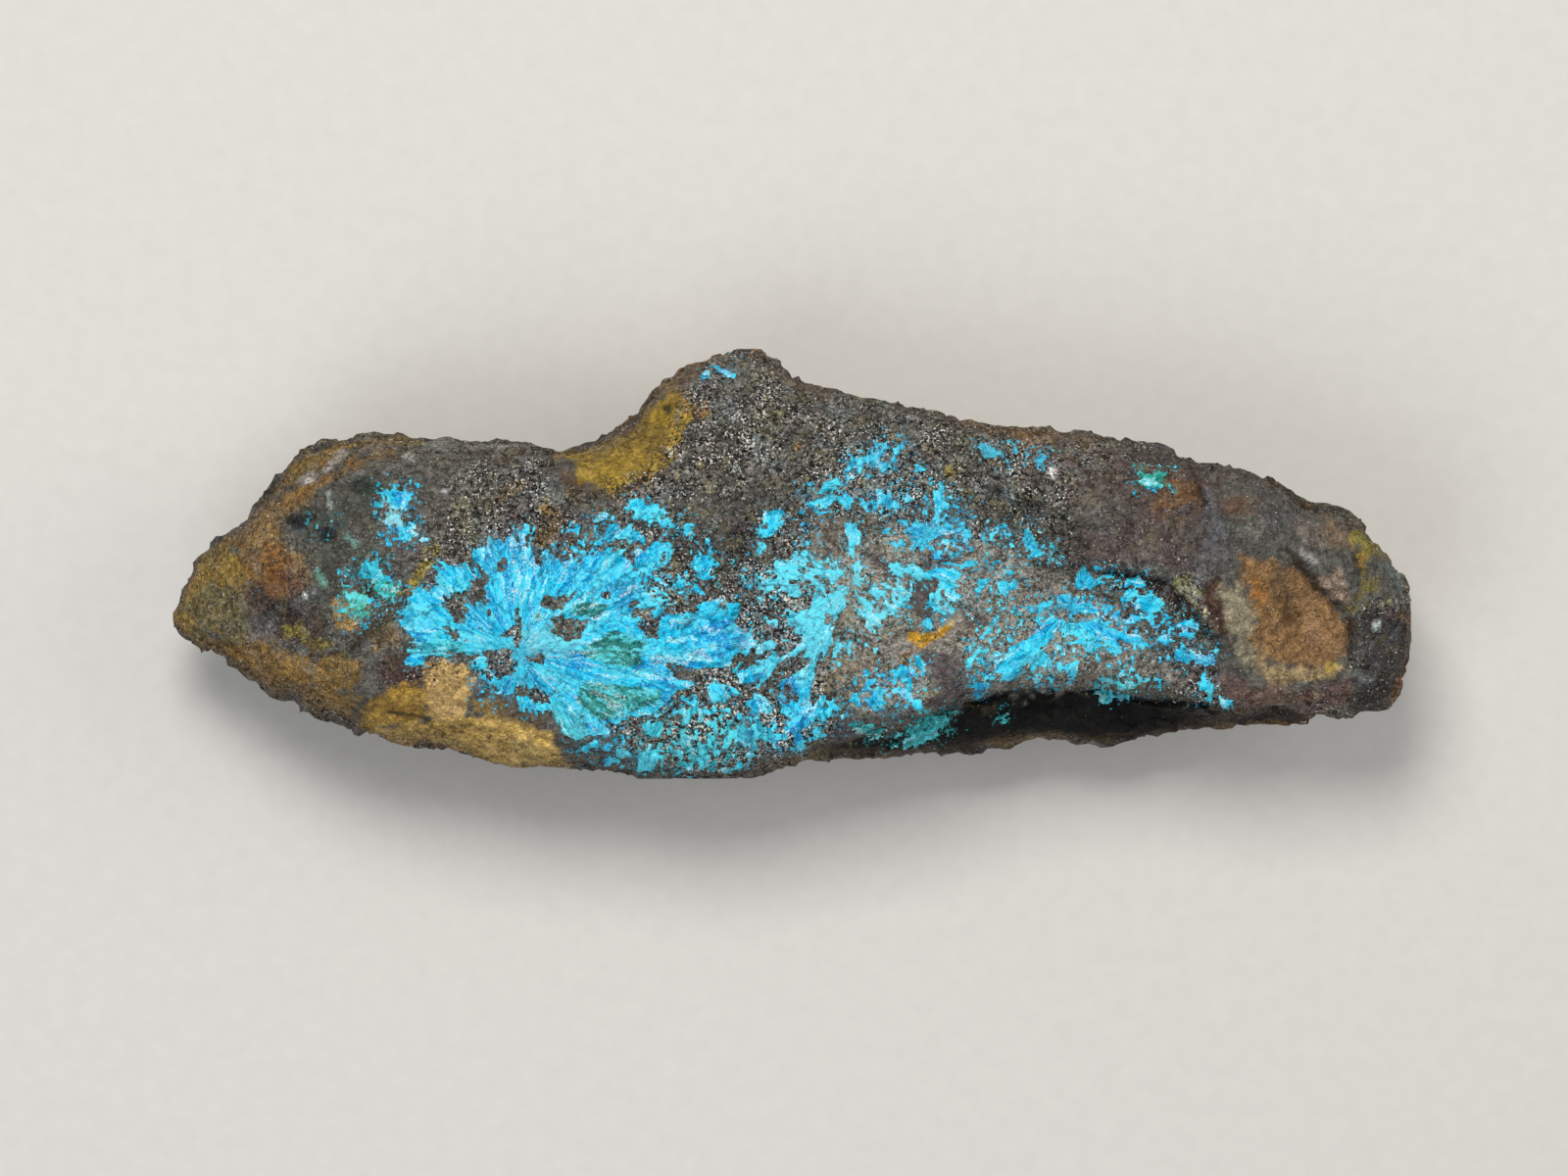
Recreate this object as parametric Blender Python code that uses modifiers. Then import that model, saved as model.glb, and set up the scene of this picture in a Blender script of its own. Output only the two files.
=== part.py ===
"""A hand specimen of lavendulan: crusts of radiating blue crystals on a broken slab of drusy quartz rock.

The slab lies on its broad back with the mineralised face up. X runs along the slab, Y across the face, Z is
its depth, and the origin is under the middle of its box, on the surface it lies on.
"""

import bmesh
import bpy
import numpy as np
from mathutils import Matrix, Vector, noise

MM = 0.001  # every size below is in millimetres, and meshes are made in metres

# The slab's box in plan, and its depth with how its face falls away.
LENGTH, WIDTH = 80.0, 27.8
FACE_CROWN = 15.8  # height of the face's middle over the back
FACE_MIDDLE_Y = 0.5
END_FALL = 2.0  # how much lower the face is this far along the slab
END_REACH = 38.0
SIDE_FALL = 2.2  # how much lower it is this far across the slab
SIDE_REACH = 13.0
TIP_START_X, TIP_RUN, TIP_FALL = -25.0, 15.0, 3.8  # the west end narrows to a wedge
PEAK_START_Y, PEAK_SLOPE = 6.8, 0.42  # the peak on the north side leans back
SHOULDER_WIDTH, SHOULDER_FALL = 1.7, 1.9  # the worn edge of the face
THINNEST_RIM = 4.2

# The slab's outline, seen square on to the face, clockwise from its west tip.
OUTLINE = (
    (-39.9, -3.3), (-39.5, -2.2), (-38.5, -1.4), (-38, 0), (-37.3, 0.9), (-35.1, 2.4), (-33.5, 4.4),
    (-31.9, 6.5), (-30.7, 7.3), (-29.1, 7.8), (-25.6, 8.1), (-20.6, 8), (-16.5, 7.4), (-14.6, 7.2),
    (-13, 7.5), (-11.7, 8), (-10.2, 8.5), (-9.5, 9.5), (-9.2, 10.4), (-8.6, 11.2), (-7.3, 11.7),
    (-5.9, 12.4), (-4.5, 12.9), (-3.8, 13.6), (-2.6, 13.9), (-1.8, 13.4), (-0.6, 12.4), (1, 11.3),
    (2.8, 10.8), (4.7, 10.2), (9.1, 9.5), (11.3, 8.9), (14.8, 8.6), (19.2, 8.3), (21.1, 7.9),
    (23, 7.3), (24.9, 6.7), (26.6, 6.2), (27.4, 5.7), (29.9, 5.7), (31.8, 4.5), (32.7, 3.6), (34, 3.5),
    (36.4, 3), (37.2, 1.5), (38.7, -0.3), (39.7, -1.6), (40, -4.4), (39.4, -7.3), (38.9, -9.1),
    (37.8, -9.6), (36.8, -9.4), (34.6, -10.1), (30.5, -10.5), (28, -10.5), (24.2, -11), (19.8, -11.5),
    (18.2, -11.2), (16, -11), (14.8, -11.4), (12.2, -11.8), (7.8, -12.2), (5.3, -12.4), (2.8, -12.3),
    (0.3, -12.6), (-1, -12.9), (-2.9, -13.4), (-4.5, -13.8), (-6.7, -13.9), (-8.6, -13.8),
    (-10.5, -13.2), (-13, -13.1), (-16.8, -12.9), (-19.8, -12.6), (-20.3, -12), (-23.7, -11.5),
    (-25.6, -11.4), (-27.2, -10.9), (-28, -10.3), (-29.2, -9.9), (-29.7, -9.5), (-31.6, -8.4),
    (-32.9, -8.6), (-33.8, -8.1), (-34.8, -7.4), (-36.8, -5.7), (-38.2, -5), (-39.7, -4.1),
)

# Where the face breaks off along the south side, above a lower shelf.
FACE_EDGE = (
    (-2.9, -13.6), (1.5, -12), (4, -10.9), (7.8, -10.3), (9.7, -9.3), (11.3, -8.6), (12.9, -8.3),
    (14.8, -7.8), (19.8, -7.8), (22.3, -8.3), (24.2, -8.5), (26.8, -9), (28.8, -9.7), (29.9, -9.3),
    (30.9, -8.6), (33.1, -9), (34, -9.5), (35.1, -10.1),
)
SHELF_DROP, SHELF_RUN = 4.6, 0.9
SHELF_START_X, SHELF_GROWS = -2.5, 8.0
SHELF_END_X, SHELF_FADES = 36.0, 4.0
UNDERCUT_RADIUS, UNDERCUT_DEPTH = 1.1, 2.5  # the hollow worn under the face's broken edge
UNDERCUT_FROM, UNDERCUT_TO = 3, 12  # the points of FACE_EDGE that it runs between

# Ledges: a line, how far the ground on the right of it drops, how wide the step is and how far it reaches.
LEDGES = (
    (((-24.7, -2.5), (-26.2, -4.1), (-27.7, -5.1), (-29.1, -5.9), (-31.9, -5.7)), 0.9, 0.8, 5.0),
    (((-31.7, -8.6), (-32.6, -7.9), (-34.3, -6.1), (-37.3, -5.4)), -1.6, 0.8, 9.0),
    (((-28.5, -9.3), (-25.6, -9.3), (-23.1, -10.1), (-19.3, -10.9), (-16.5, -12)), 1.0, 0.7, 6.0),
    (((-27.8, -10.4), (-25.6, -10.3), (-22.5, -11), (-19.8, -11.9)), 1.0, 0.6, 6.0),
    (((18.2, -0.3), (21.8, -0.6), (24, -1), (25.6, -2.3), (26.2, -3.8), (27.7, -5.6)), 1.0, 0.7, 6.0),
    (((-14.9, 6.6), (-23.7, 7.1), (-25, 7.1), (-29.4, 6.1), (-31.9, 4.7), (-34.3, 1.9)), 1.9, 2.2, 9.0),
    (((-33.9, -5), (-34.3, -2.5), (-36.7, -1.5), (-39.6, -1.6)), -0.7, 1.6, 4.0),
)

# Ridges and, where the rise is below zero, cracks and grooves: a line, its half width and its rise.
RIDGES = (
    (((-3.8, 1.9), (-3.1, -0.3), (-2.7, -2.8), (-2.6, -4.7), (-2.3, -5.7)), 0.8, -1.1),
    (((-8.6, 7.6), (-6.4, 8.5), (-4.4, 9.7), (-3, 11.6)), 0.9, -0.5),
    (((28, -1.2), (28.3, -4.1), (29.6, -6.6)), 1.0, -0.7),
    (((26, -1.6), (27.1, -3.6), (28.4, -5.6)), 0.7, 0.5),
    (((32.7, -0.3), (34.4, -1.9), (35.6, -3.1), (36.2, -4.7), (36, -6.6)), 0.7, -0.9),
    (((32.6, 3.8), (33.4, 2.8), (33.9, 1.9)), 0.4, -0.6),
    (((11.3, 6.1), (12.2, 4.4), (15.1, 2.5), (18.2, 0.9)), 1.5, -0.8),
    (((12.6, 5.6), (15.4, 5), (17.9, 4), (20.1, 2.9)), 1.1, 0.5),
    (((14.2, -9.6), (17, -9.3), (20.4, -9.7), (24, -10)), 0.4, -0.7),
    (((-25.6, -9.1), (-24.4, -9.7), (-22.8, -9.9)), 0.4, -0.6),
)

# Rounded lumps and, where the rise is below zero, hollows: a centre, its half widths and its rise.
LUMPS = (
    ((-11.6, 8.4), (3.4, 1.9), -1.8),
    ((32.1, -3.2), (2.9, 2.6), -1.1),
    ((32.4, -7.2), (3.2, 0.9), 0.5),
    ((37.6, -6.1), (1.7, 3.0), 0.8),
    ((35.8, 0.9), (1.6, 1.4), 0.6),
    ((12.3, -1.4), (0.6, 0.6), -0.8),
    ((16.5, -4), (0.6, 0.6), -0.5),
    ((-7.8, 9.7), (0.6, 0.6), -0.5),
    ((-35.3, 2.0), (2.4, 1.6), -0.5),
    ((-20.0, -10.2), (2.6, 1.2), 0.5),
    ((-8.0, -11.4), (5.0, 1.6), 0.5),
    ((4.0, -1.0), (5.0, 4.0), 0.6),
    ((-14.0, -4.0), (6.0, 4.0), 0.5),
)

# The back's broken faces: the way each one looks, in degrees from +X, where it starts and how steep it is.
BACK_FACES = (
    (-90, 6.6, 0.8), (-58, 13.0, 0.75), (-122, 15.5, 0.8), (90, 4.0, 0.72), (68, 10.5, 0.75), (116, 10.5, 0.8),
    (180, 22.0, 0.34), (207, 25.5, 0.6), (152, 24.5, 0.6), (0, 29.5, 0.62), (30, 26.5, 0.7), (-26, 30.0, 0.75),
)

# The lavendulan crusts: each island's outline, and the patches of bare rock that it leaves.
CRUST_GAP = 0.3  # between a crust and the rock, which meshes that touch would lose
CRUST_THICKNESS = 0.35
BLADE_THICKNESS = 0.6  # along the crystal blades that stand over the rest of a crust
CRUSTS = {
    "crust_west_rosette": (
        (-24.9, -3.1), (-24.5, -2.3), (-22.6, -1.8), (-22.5, -0.8), (-21.9, -0.3), (-21, -0.2),
        (-20.1, -0.7), (-20, 0.2), (-19.6, 1.1), (-18.5, 1.6), (-17.5, 1.5), (-17.2, 2.3), (-16.5, 2.3),
        (-16.7, 0.8), (-16.3, -0.4), (-14.9, -0.7), (-13.6, -0.2), (-12.8, -0.4), (-12.9, 0.6),
        (-11.9, 1.1), (-10.5, 0.9), (-9.7, 0.2), (-9.5, -1.1), (-9.8, -2.1), (-7.8, -2.3), (-7.8, -3),
        (-5.9, -2.8), (-6, -2), (-5, -1.8), (-3.6, -2.3), (-3.2, -3), (-3.4, -4.1), (-2.9, -4.7),
        (-3, -5.2), (-4.1, -5.8), (-4.4, -6.5), (-6.6, -6.8), (-7.8, -6.9), (-6.4, -7.8), (-7.8, -8.8),
        (-9.3, -9.8), (-12, -10.8), (-14.4, -11), (-15.5, -9.6), (-15.1, -8.8), (-17.2, -8.7),
        (-17.8, -7.9), (-19.7, -8.3), (-18.5, -6.9), (-19.8, -6.1), (-20.7, -5.5), (-22.1, -5.6),
        (-23.1, -6.6), (-24.1, -6.4), (-24.4, -5.4), (-24.8, -4.4),
    ),
    "crust_south_laths": (
        (-5.3, -8.6), (-4.5, -7.8), (-3.5, -7.6), (-3.4, -8.3), (-2.4, -8.6), (-1.3, -8.5), (-1.1, -9.3),
        (-2, -9.8), (-3, -9.8), (-3.9, -8.9),
    ),
    "crust_middle_spray": (
        (3.9, 2.4), (4.4, 1.6), (4.4, -0.3), (5, -1.1), (6, -1.6), (5.9, -2.8), (6.1, -4.1), (5.3, -4.2),
        (4.9, -3.2), (4.4, -2.3), (3.8, -3.8), (2.9, -5.2), (2.1, -6.6), (2.8, -7.9), (3.7, -8.6),
        (2.8, -9.3), (2.6, -10.3), (1.8, -9.8), (1.1, -10.5), (0.4, -10.2), (0, -9.3), (0.4, -8.6),
        (-0.4, -8.4), (-0.4, -7.5), (-1.9, -7.7), (-2.9, -7.9), (-3.4, -7.3), (-2.1, -6.4),
        (-0.6, -5.9), (0.4, -4.7), (-0.1, -3.8), (-0.6, -3.2), (1, -2.8), (1.3, -2), (2.5, -1.8),
        (3.3, -1.2), (1.9, -0.7), (1.7, 0.1), (2.8, -0.1), (3.7, -0.6), (3.5, 1.6),
    ),
    "crust_north_streak": (
        (3.8, 6.2), (4.4, 6.9), (5.4, 7.1), (6.3, 7.8), (6.9, 7.9), (6.6, 7.1), (5.7, 6.6), (4.7, 6.2),
    ),
    "crust_north_cluster": (
        (4.7, 4), (5.5, 4.4), (6.2, 4.2), (6.8, 5), (7.3, 4.7), (7.8, 4.1), (7.4, 3.3), (6.4, 3.6),
        (5.7, 3.2), (4.9, 3.3),
    ),
    "crust_north_star": (
        (7.3, 1.8), (7.8, 2.1), (7.7, 2.8), (8.3, 2.5), (8.9, 4.7), (9.5, 4.5), (9.4, 2.6), (10.1, 2.8),
        (11.5, 2.1), (10.2, 1.4), (10.3, 0.8), (9.3, 1.2), (8.6, 0.7), (8.3, 1.4),
    ),
    "crust_centre_laths": (
        (6.1, 0.1), (7.2, -0.1), (8.5, -0.3), (9.7, -0.1), (11.5, 0.6), (11.2, -0.4), (10.9, -1.6),
        (10.6, -2.8), (9.6, -2.7), (9.5, -1.6), (8.6, -1.1), (7.3, -0.9), (6.3, -0.7),
    ),
    "crust_east_patch": (
        (14, -5.5), (14.8, -4.7), (15.5, -3.5), (16.5, -3.3), (17.2, -2.1), (18.2, -1.6), (18.3, -0.7),
        (19.2, -0.9), (19.1, -1.7), (19.9, -2.3), (20.4, -3.2), (21.3, -2.6), (21.5, -1.8), (22.8, -1.9),
        (23.7, -2.5), (23.6, -3.3), (22.6, -3.6), (22.3, -4.7), (21.5, -5.5), (19.8, -5.1), (18.3, -5.7),
        (18.2, -6.4), (17.3, -6.3), (17.1, -5.9), (16.2, -5.5), (15.3, -5.7), (14.7, -6.1),
    ),
    "crust_east_chain": (
        (23.1, -4.9), (24.2, -4.6), (24.6, -4), (25.4, -3.9), (25.7, -4.6), (25.2, -5.1), (26.2, -5.7),
        (27.1, -6.1), (26.9, -6.6), (25.7, -6.4), (24.6, -5.9), (23.5, -5.6),
    ),
    "crust_northwest_fleck": (
        (-25.4, 4.6), (-24.6, 4.8), (-24.2, 4.4), (-24.5, 3.5), (-24.7, 2.8), (-24, 2.2), (-24.7, 1.6),
        (-25.4, 2.1), (-25.4, 3.1), (-25.6, 3.8),
    ),
    "crust_teal_fleck": (
        (-27.6, -0.6), (-26.8, 0), (-26, -0.3), (-25.9, -1.3), (-25.1, -1.7), (-25.4, -2.1), (-26.4, -2),
        (-26.9, -1.5), (-27.5, -1.3),
    ),
}
BARE_PATCHES = {
    "crust_west_rosette": (
        ((-22.3, -2.2), (-20.7, -1.9), (-19.4, -2.3), (-19.8, -3.6), (-21.2, -4.6), (-22, -4.1)),
        ((-16.2, -2.4), (-15.5, -1.8), (-14.1, -2), (-14.5, -2.9), (-13.1, -3.5), (-13.1, -4.3),
         (-14.1, -4.8), (-15, -4.4), (-15.5, -3.4)),
        ((-9.7, -2.9), (-8.7, -3.2), (-8.4, -4.4), (-9.2, -4.9), (-9.7, -4)),
        ((-17.5, -5.2), (-17.9, -4.1), (-17.6, -2.9), (-17.2, -4.1)),
    ),
}

# Blades: where each spray's crystals spread from, the way the middle one points in degrees, the fan's whole
# angle, how many there are, and how far out they start and end.
BLADES = {
    "crust_west_rosette": (((-17.4, -5.7), 14, 62, 5, 5.2, 11.5), ((-17.4, -5.7), 118, 60, 3, 2.8, 6.2)),
    "crust_middle_spray": (((3.9, -1.4), 236, 30, 3, 1.6, 8.4),),
    "crust_east_patch": (((19.6, -4.2), 60, 90, 3, 0.4, 2.2),),
}
BLADE_HALF_ANGLE = 0.045  # a blade's half width over its length from the spray's centre, and at least this
BLADE_LEAST_HALF_WIDTH = 0.3

# How finely the rock is built, and its facets.
FORM_VOXEL = 0.62
ROCK_TRIANGLES = 5600
BASE_CUT = 0.35  # what is ground off the back, to the flat it rests on
FACE_CHIP = (4.2, 3.0, 3.0)  # how long, wide and deep a chip is on the face
SIDE_CHIP = (7.5, 5.0, 3.0)  # and on the sides and back, where the rock breaks along its layers
FULL_CHIP_THICKNESS = 5.0  # a chip is full size where the slab is this much thicker than at its thinnest
RIM_CALM = 2.6  # the back's chips fade out this close to the rim
RIM_SHARE, RIM_BAND = 0.66, 0.16  # how far up its sides the slab is widest, and how much of them that takes
CUTTER_FLOOR, CUTTER_STEP = 12.9, 0.04  # the crusts' cutters start inside the rock, each a little higher
CUTTER_ROOF = 22.0

COLOURS = {
    "matrix": (0.105, 0.088, 0.078, 1),
    "crust": (0.012, 0.34, 0.62, 1),
    "crust_teal_fleck": (0.04, 0.36, 0.31, 1),
}


def clear_scene():
    for thing in list(bpy.data.objects):
        bpy.data.objects.remove(thing, do_unlink=True)


def new_collection(name, shown):
    group = bpy.data.collections.new(name)
    group.hide_render = not shown
    bpy.context.scene.collection.children.link(group)
    return group


def material(name, colour, roughness):
    finish = bpy.data.materials.new(name)
    finish.use_nodes = True
    shader = finish.node_tree.nodes["Principled BSDF"]
    shader.inputs["Base Color"].default_value = colour
    shader.inputs["Roughness"].default_value = roughness
    shader.inputs["Metallic"].default_value = 0.0
    return finish


def smooth(value):
    value = np.clip(value, 0, 1)
    return value * value * (3 - 2 * value)


def beside(line, points, closed=False):
    """Each point's distance to a line, its side of it (+1 is left) and how far past its ends it lies."""
    starts = np.array(line, float)
    runs = np.roll(starts, -1, axis=0) - starts
    if not closed:
        starts, runs = starts[:-1], runs[:-1]
    squares = (runs**2).sum(axis=1)
    offsets = points[:, None] - starts
    raw = (offsets * runs).sum(axis=2) / squares
    gaps = offsets - np.clip(raw, 0, 1)[..., None] * runs
    distances = np.hypot(gaps[..., 0], gaps[..., 1])
    rows = np.arange(len(points))
    nearest = distances.argmin(axis=1)
    run, offset = runs[nearest], offsets[rows, nearest]
    side = np.sign(run[:, 0] * offset[:, 1] - run[:, 1] * offset[:, 0])
    length = np.sqrt(squares[nearest])
    beyond = np.where(nearest == 0, np.maximum(-raw[rows, nearest], 0), 0) * length
    last = nearest == len(runs) - 1
    beyond += np.where(last, np.maximum(raw[rows, nearest] - 1, 0), 0) * length
    return distances[rows, nearest], side, beyond


def face_height(points):
    """Height of the display face over the back, at points of the plan."""
    x, y = points.T
    height = FACE_CROWN - END_FALL * (x / END_REACH) ** 2 - SIDE_FALL * ((y - FACE_MIDDLE_Y) / SIDE_REACH) ** 2
    height -= TIP_FALL * smooth((TIP_START_X - x) / TIP_RUN)
    height -= PEAK_SLOPE * np.maximum(y - PEAK_START_Y, 0)
    for line, drop, run, reach in LEDGES:
        distance, side, beyond = beside(line, points)
        fade = np.exp(-((beyond / 1.5) ** 2)) * np.exp(-((distance / reach) ** 2))
        height -= drop * fade * (smooth(0.5 - side * distance / run) - 0.5)
    for line, width, rise in RIDGES:
        distance, _, _ = beside(line, points)
        height += rise * np.exp(-((distance / width) ** 2))
    for centre, widths, rise in LUMPS:
        apart = (points - centre) / widths
        height += rise * np.exp(-(apart**2).sum(axis=1))
    distance, side, _ = beside(FACE_EDGE, points)
    grown = smooth((x - SHELF_START_X) / SHELF_GROWS) * smooth((SHELF_END_X - x) / SHELF_FADES)
    return height - SHELF_DROP * grown * smooth(0.5 - side * distance / SHELF_RUN)


def shoulder_fall(points):
    """How far the worn edge of the face lies below it."""
    rim, _, _ = beside(OUTLINE, points, closed=True)
    return SHOULDER_FALL * (1 - np.clip(rim / SHOULDER_WIDTH, 0, 1)) ** 2


def back_height(points, face):
    """Height of the back: flat in the middle, with broken faces rising to the rim."""
    height = np.zeros(len(points))
    for degrees, start, slope in BACK_FACES:
        way = np.radians(degrees)
        reach = points @ np.array((np.cos(way), np.sin(way)))
        height = np.maximum(height, slope * (reach - start))
    return np.minimum(height, face - THINNEST_RIM)


def flat_prism(name, loops, low, high, cutters):
    """An upright prism over a plan of one outline and the holes in it, as a mesh object."""
    plan = bpy.data.curves.new(name, "CURVE")
    plan.dimensions = "2D"
    plan.fill_mode = "BOTH"
    plan.extrude = (high - low) / 2 * MM
    for loop in loops:
        spline = plan.splines.new("POLY")
        spline.points.add(len(loop) - 1)
        for point, (x, y) in zip(spline.points, loop, strict=True):
            point.co = (x * MM, y * MM, 0, 1)
        spline.use_cyclic_u = True
    curve = bpy.data.objects.new(name, plan)
    curve.location.z = (high + low) / 2 * MM
    cutters.objects.link(curve)
    bpy.context.view_layer.update()
    return as_mesh(curve, name, cutters)


def as_mesh(source, name, group):
    """Replaces a curve, or an object with modifiers, by the mesh it evaluates to, welded and in place."""
    graph = bpy.context.evaluated_depsgraph_get()
    mesh = bpy.data.meshes.new_from_object(source.evaluated_get(graph))
    mesh.transform(source.matrix_world)
    bpy.data.objects.remove(source, do_unlink=True)
    shape = bmesh.new()
    shape.from_mesh(mesh)
    bmesh.ops.remove_doubles(shape, verts=shape.verts, dist=1e-6)
    bmesh.ops.recalc_face_normals(shape, faces=shape.faces)
    shape.to_mesh(mesh)
    shape.free()
    made = bpy.data.objects.new(name, mesh)
    group.objects.link(made)
    return made


def modified(thing, kind, **settings):
    """Adds a modifier with its settings, applies it and returns the object that results."""
    modifier = thing.modifiers.new(kind.title(), kind)
    for key, value in settings.items():
        setattr(modifier, key, value)
    bpy.context.view_layer.update()
    return as_mesh(thing, thing.name, thing.users_collection[0])


def positions(mesh):
    flat = np.empty(len(mesh.vertices) * 3)
    mesh.vertices.foreach_get("co", flat)
    return flat.reshape(-1, 3) / MM


def set_positions(mesh, points):
    mesh.vertices.foreach_set("co", (points * MM).ravel())
    mesh.update()


def shape_slab(mesh, depth):
    """Moves the prism's points to the slab's face and back.

    Returns how far up the slab each one is, 0 to 1, and how thick the slab is there.
    """
    points = positions(mesh)
    share = np.clip(points[:, 2] / depth, 0, 1)
    face = face_height(points[:, :2])
    back = back_height(points[:, :2], face)
    points[:, 2] = back + share * (face - shoulder_fall(points[:, :2]) - back)
    set_positions(mesh, points)
    return share, face - back


def facets(place, size, tilt, rise):
    """A surface of flat chips: in each cell, a plane with its own tilt and its own height."""
    scaled = Vector(np.array(place) / size)
    middle = noise.voronoi(scaled)[1][0]
    lean = noise.noise_vector(middle * 5.3)
    return tilt * lean.dot(scaled - middle) + rise * noise.noise(middle * 3.7)


def break_surface(mesh, share, thickness):
    """Roughens the slab: a grainy face with shallow chips, and deeper, layered chips on the sides and back.

    The sides are only chipped inwards, and not at the level of the rim, so the outline stays. Where the slab
    is thin, the chips are shallow.
    """
    points = positions(mesh)
    normals = np.empty(len(mesh.vertices) * 3)
    mesh.vertices.foreach_get("normal", normals)
    normals = normals.reshape(-1, 3)
    off_rim = 1 - np.exp(-(((share - RIM_SHARE) / RIM_BAND) ** 2))
    depth = smooth((thickness - THINNEST_RIM) / FULL_CHIP_THICKNESS)
    inland = smooth(beside(OUTLINE, points[:, :2], closed=True)[0] / RIM_CALM)
    moved = np.empty(len(points))
    for i, (point, normal) in enumerate(zip(points, normals, strict=True)):
        grain = noise.noise(Vector(point) / 1.3)
        broad = noise.fractal(Vector(point) / 7.0, 0.9, 2.1, 3)
        upward = max(normal[2], 0) ** 2
        facing = 0.12 * grain + facets(point, FACE_CHIP, 0.35, 0.2)
        broken = 0.1 * grain + depth[i] * (0.3 * broad + facets(point, SIDE_CHIP, 1.6, 1.0) - 0.2)
        sideways = 1 - abs(normal[2])
        held = min(broken - 0.3 * depth[i], 0) * off_rim[i]
        broken = sideways * held + (1 - sideways) * inland[i] * broken
        moved[i] = upward * facing + (1 - upward) * broken
    set_positions(mesh, points + normals * moved[:, None])


def undercut(cutters):
    """A bent rod under the face's broken south edge, where the softer rock has fallen out."""
    route = np.array(FACE_EDGE[UNDERCUT_FROM : UNDERCUT_TO + 1])
    heights = face_height(route + (0, 1.0)) - UNDERCUT_DEPTH
    rod = bpy.data.curves.new("undercut", "CURVE")
    rod.dimensions = "3D"
    rod.bevel_depth = UNDERCUT_RADIUS * MM
    rod.bevel_resolution = 2
    rod.use_fill_caps = True
    spline = rod.splines.new("POLY")
    spline.points.add(len(route) - 1)
    for point, (x, y), z in zip(spline.points, route, heights, strict=True):
        point.co = (x * MM, y * MM, z * MM, 1)
    curve = bpy.data.objects.new("undercut", rod)
    cutters.objects.link(curve)
    bpy.context.view_layer.update()
    return as_mesh(curve, "undercut", cutters)


def grind_base(mesh):
    """Cuts the back off flat and stands the slab on that flat, centred on the origin and at its true size."""
    shape = bmesh.new()
    shape.from_mesh(mesh)
    everything = shape.verts[:] + shape.edges[:] + shape.faces[:]
    cut = bmesh.ops.bisect_plane(
        shape, geom=everything, dist=1e-7, plane_co=(0, 0, BASE_CUT * MM), plane_no=(0, 0, 1), clear_inner=True
    )
    rim = [piece for piece in cut["geom_cut"] if isinstance(piece, bmesh.types.BMEdge)]
    bmesh.ops.triangle_fill(shape, edges=rim, use_beauty=True, normal=(0, 0, -1))
    bmesh.ops.triangulate(shape, faces=[f for f in shape.faces if len(f.verts) > 3])
    bmesh.ops.recalc_face_normals(shape, faces=shape.faces)
    shape.to_mesh(mesh)
    shape.free()
    points = positions(mesh)
    low, high = points.min(axis=0), points.max(axis=0)
    middle = (low + high) / 2
    stretch = np.array((LENGTH, WIDTH, 1)) / (high[0] - low[0], high[1] - low[1], 1)
    set_positions(mesh, (points - (middle[0], middle[1], low[2])) * stretch)


def build_matrix(parts, cutters):
    """The rock: one solid slab."""
    slab = flat_prism("matrix", [OUTLINE], 0, FACE_CROWN, cutters)
    slab = modified(slab, "REMESH", mode="VOXEL", voxel_size=FORM_VOXEL * MM)
    break_surface(slab.data, *shape_slab(slab.data, FACE_CROWN))
    slab = modified(slab, "REMESH", mode="VOXEL", voxel_size=FORM_VOXEL * MM)
    rod = undercut(cutters)
    slab = modified(slab, "BOOLEAN", operation="DIFFERENCE", object=rod)
    slab = modified(slab, "REMESH", mode="VOXEL", voxel_size=FORM_VOXEL * MM)
    triangles = 2 * len(slab.data.polygons)
    slab = modified(slab, "DECIMATE", ratio=ROCK_TRIANGLES / triangles)
    grind_base(slab.data)
    cutters.objects.unlink(slab)
    parts.objects.link(slab)
    return slab


def lifted_copy(thing, rise, group):
    """A copy of the rock raised by so many millimetres, whose face bounds a crust."""
    copy = bpy.data.objects.new(thing.name + "_lifted", thing.data.copy())
    copy.data.transform(Matrix.Translation((0, 0, rise * MM)))
    group.objects.link(copy)
    return copy


def blade_outlines(name):
    """Long, narrow kites that spread from a spray's centre."""
    for centre, heading, fan, count, start, end in BLADES.get(name, ()):
        for i in range(count):
            turn = np.radians(heading + fan * (i / max(count - 1, 1) - 0.5))
            way = np.array((np.cos(turn), np.sin(turn)))
            across = np.array((-way[1], way[0]))
            length = end - (end - start) * 0.25 * (i % 2)
            middle = start + 0.6 * (length - start)
            half = max(BLADE_LEAST_HALF_WIDTH, BLADE_HALF_ANGLE * middle)
            tips = (way * start, way * middle + across * half, way * length, way * middle - across * half)
            yield [tuple(np.array(centre) + tip) for tip in tips]


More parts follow.
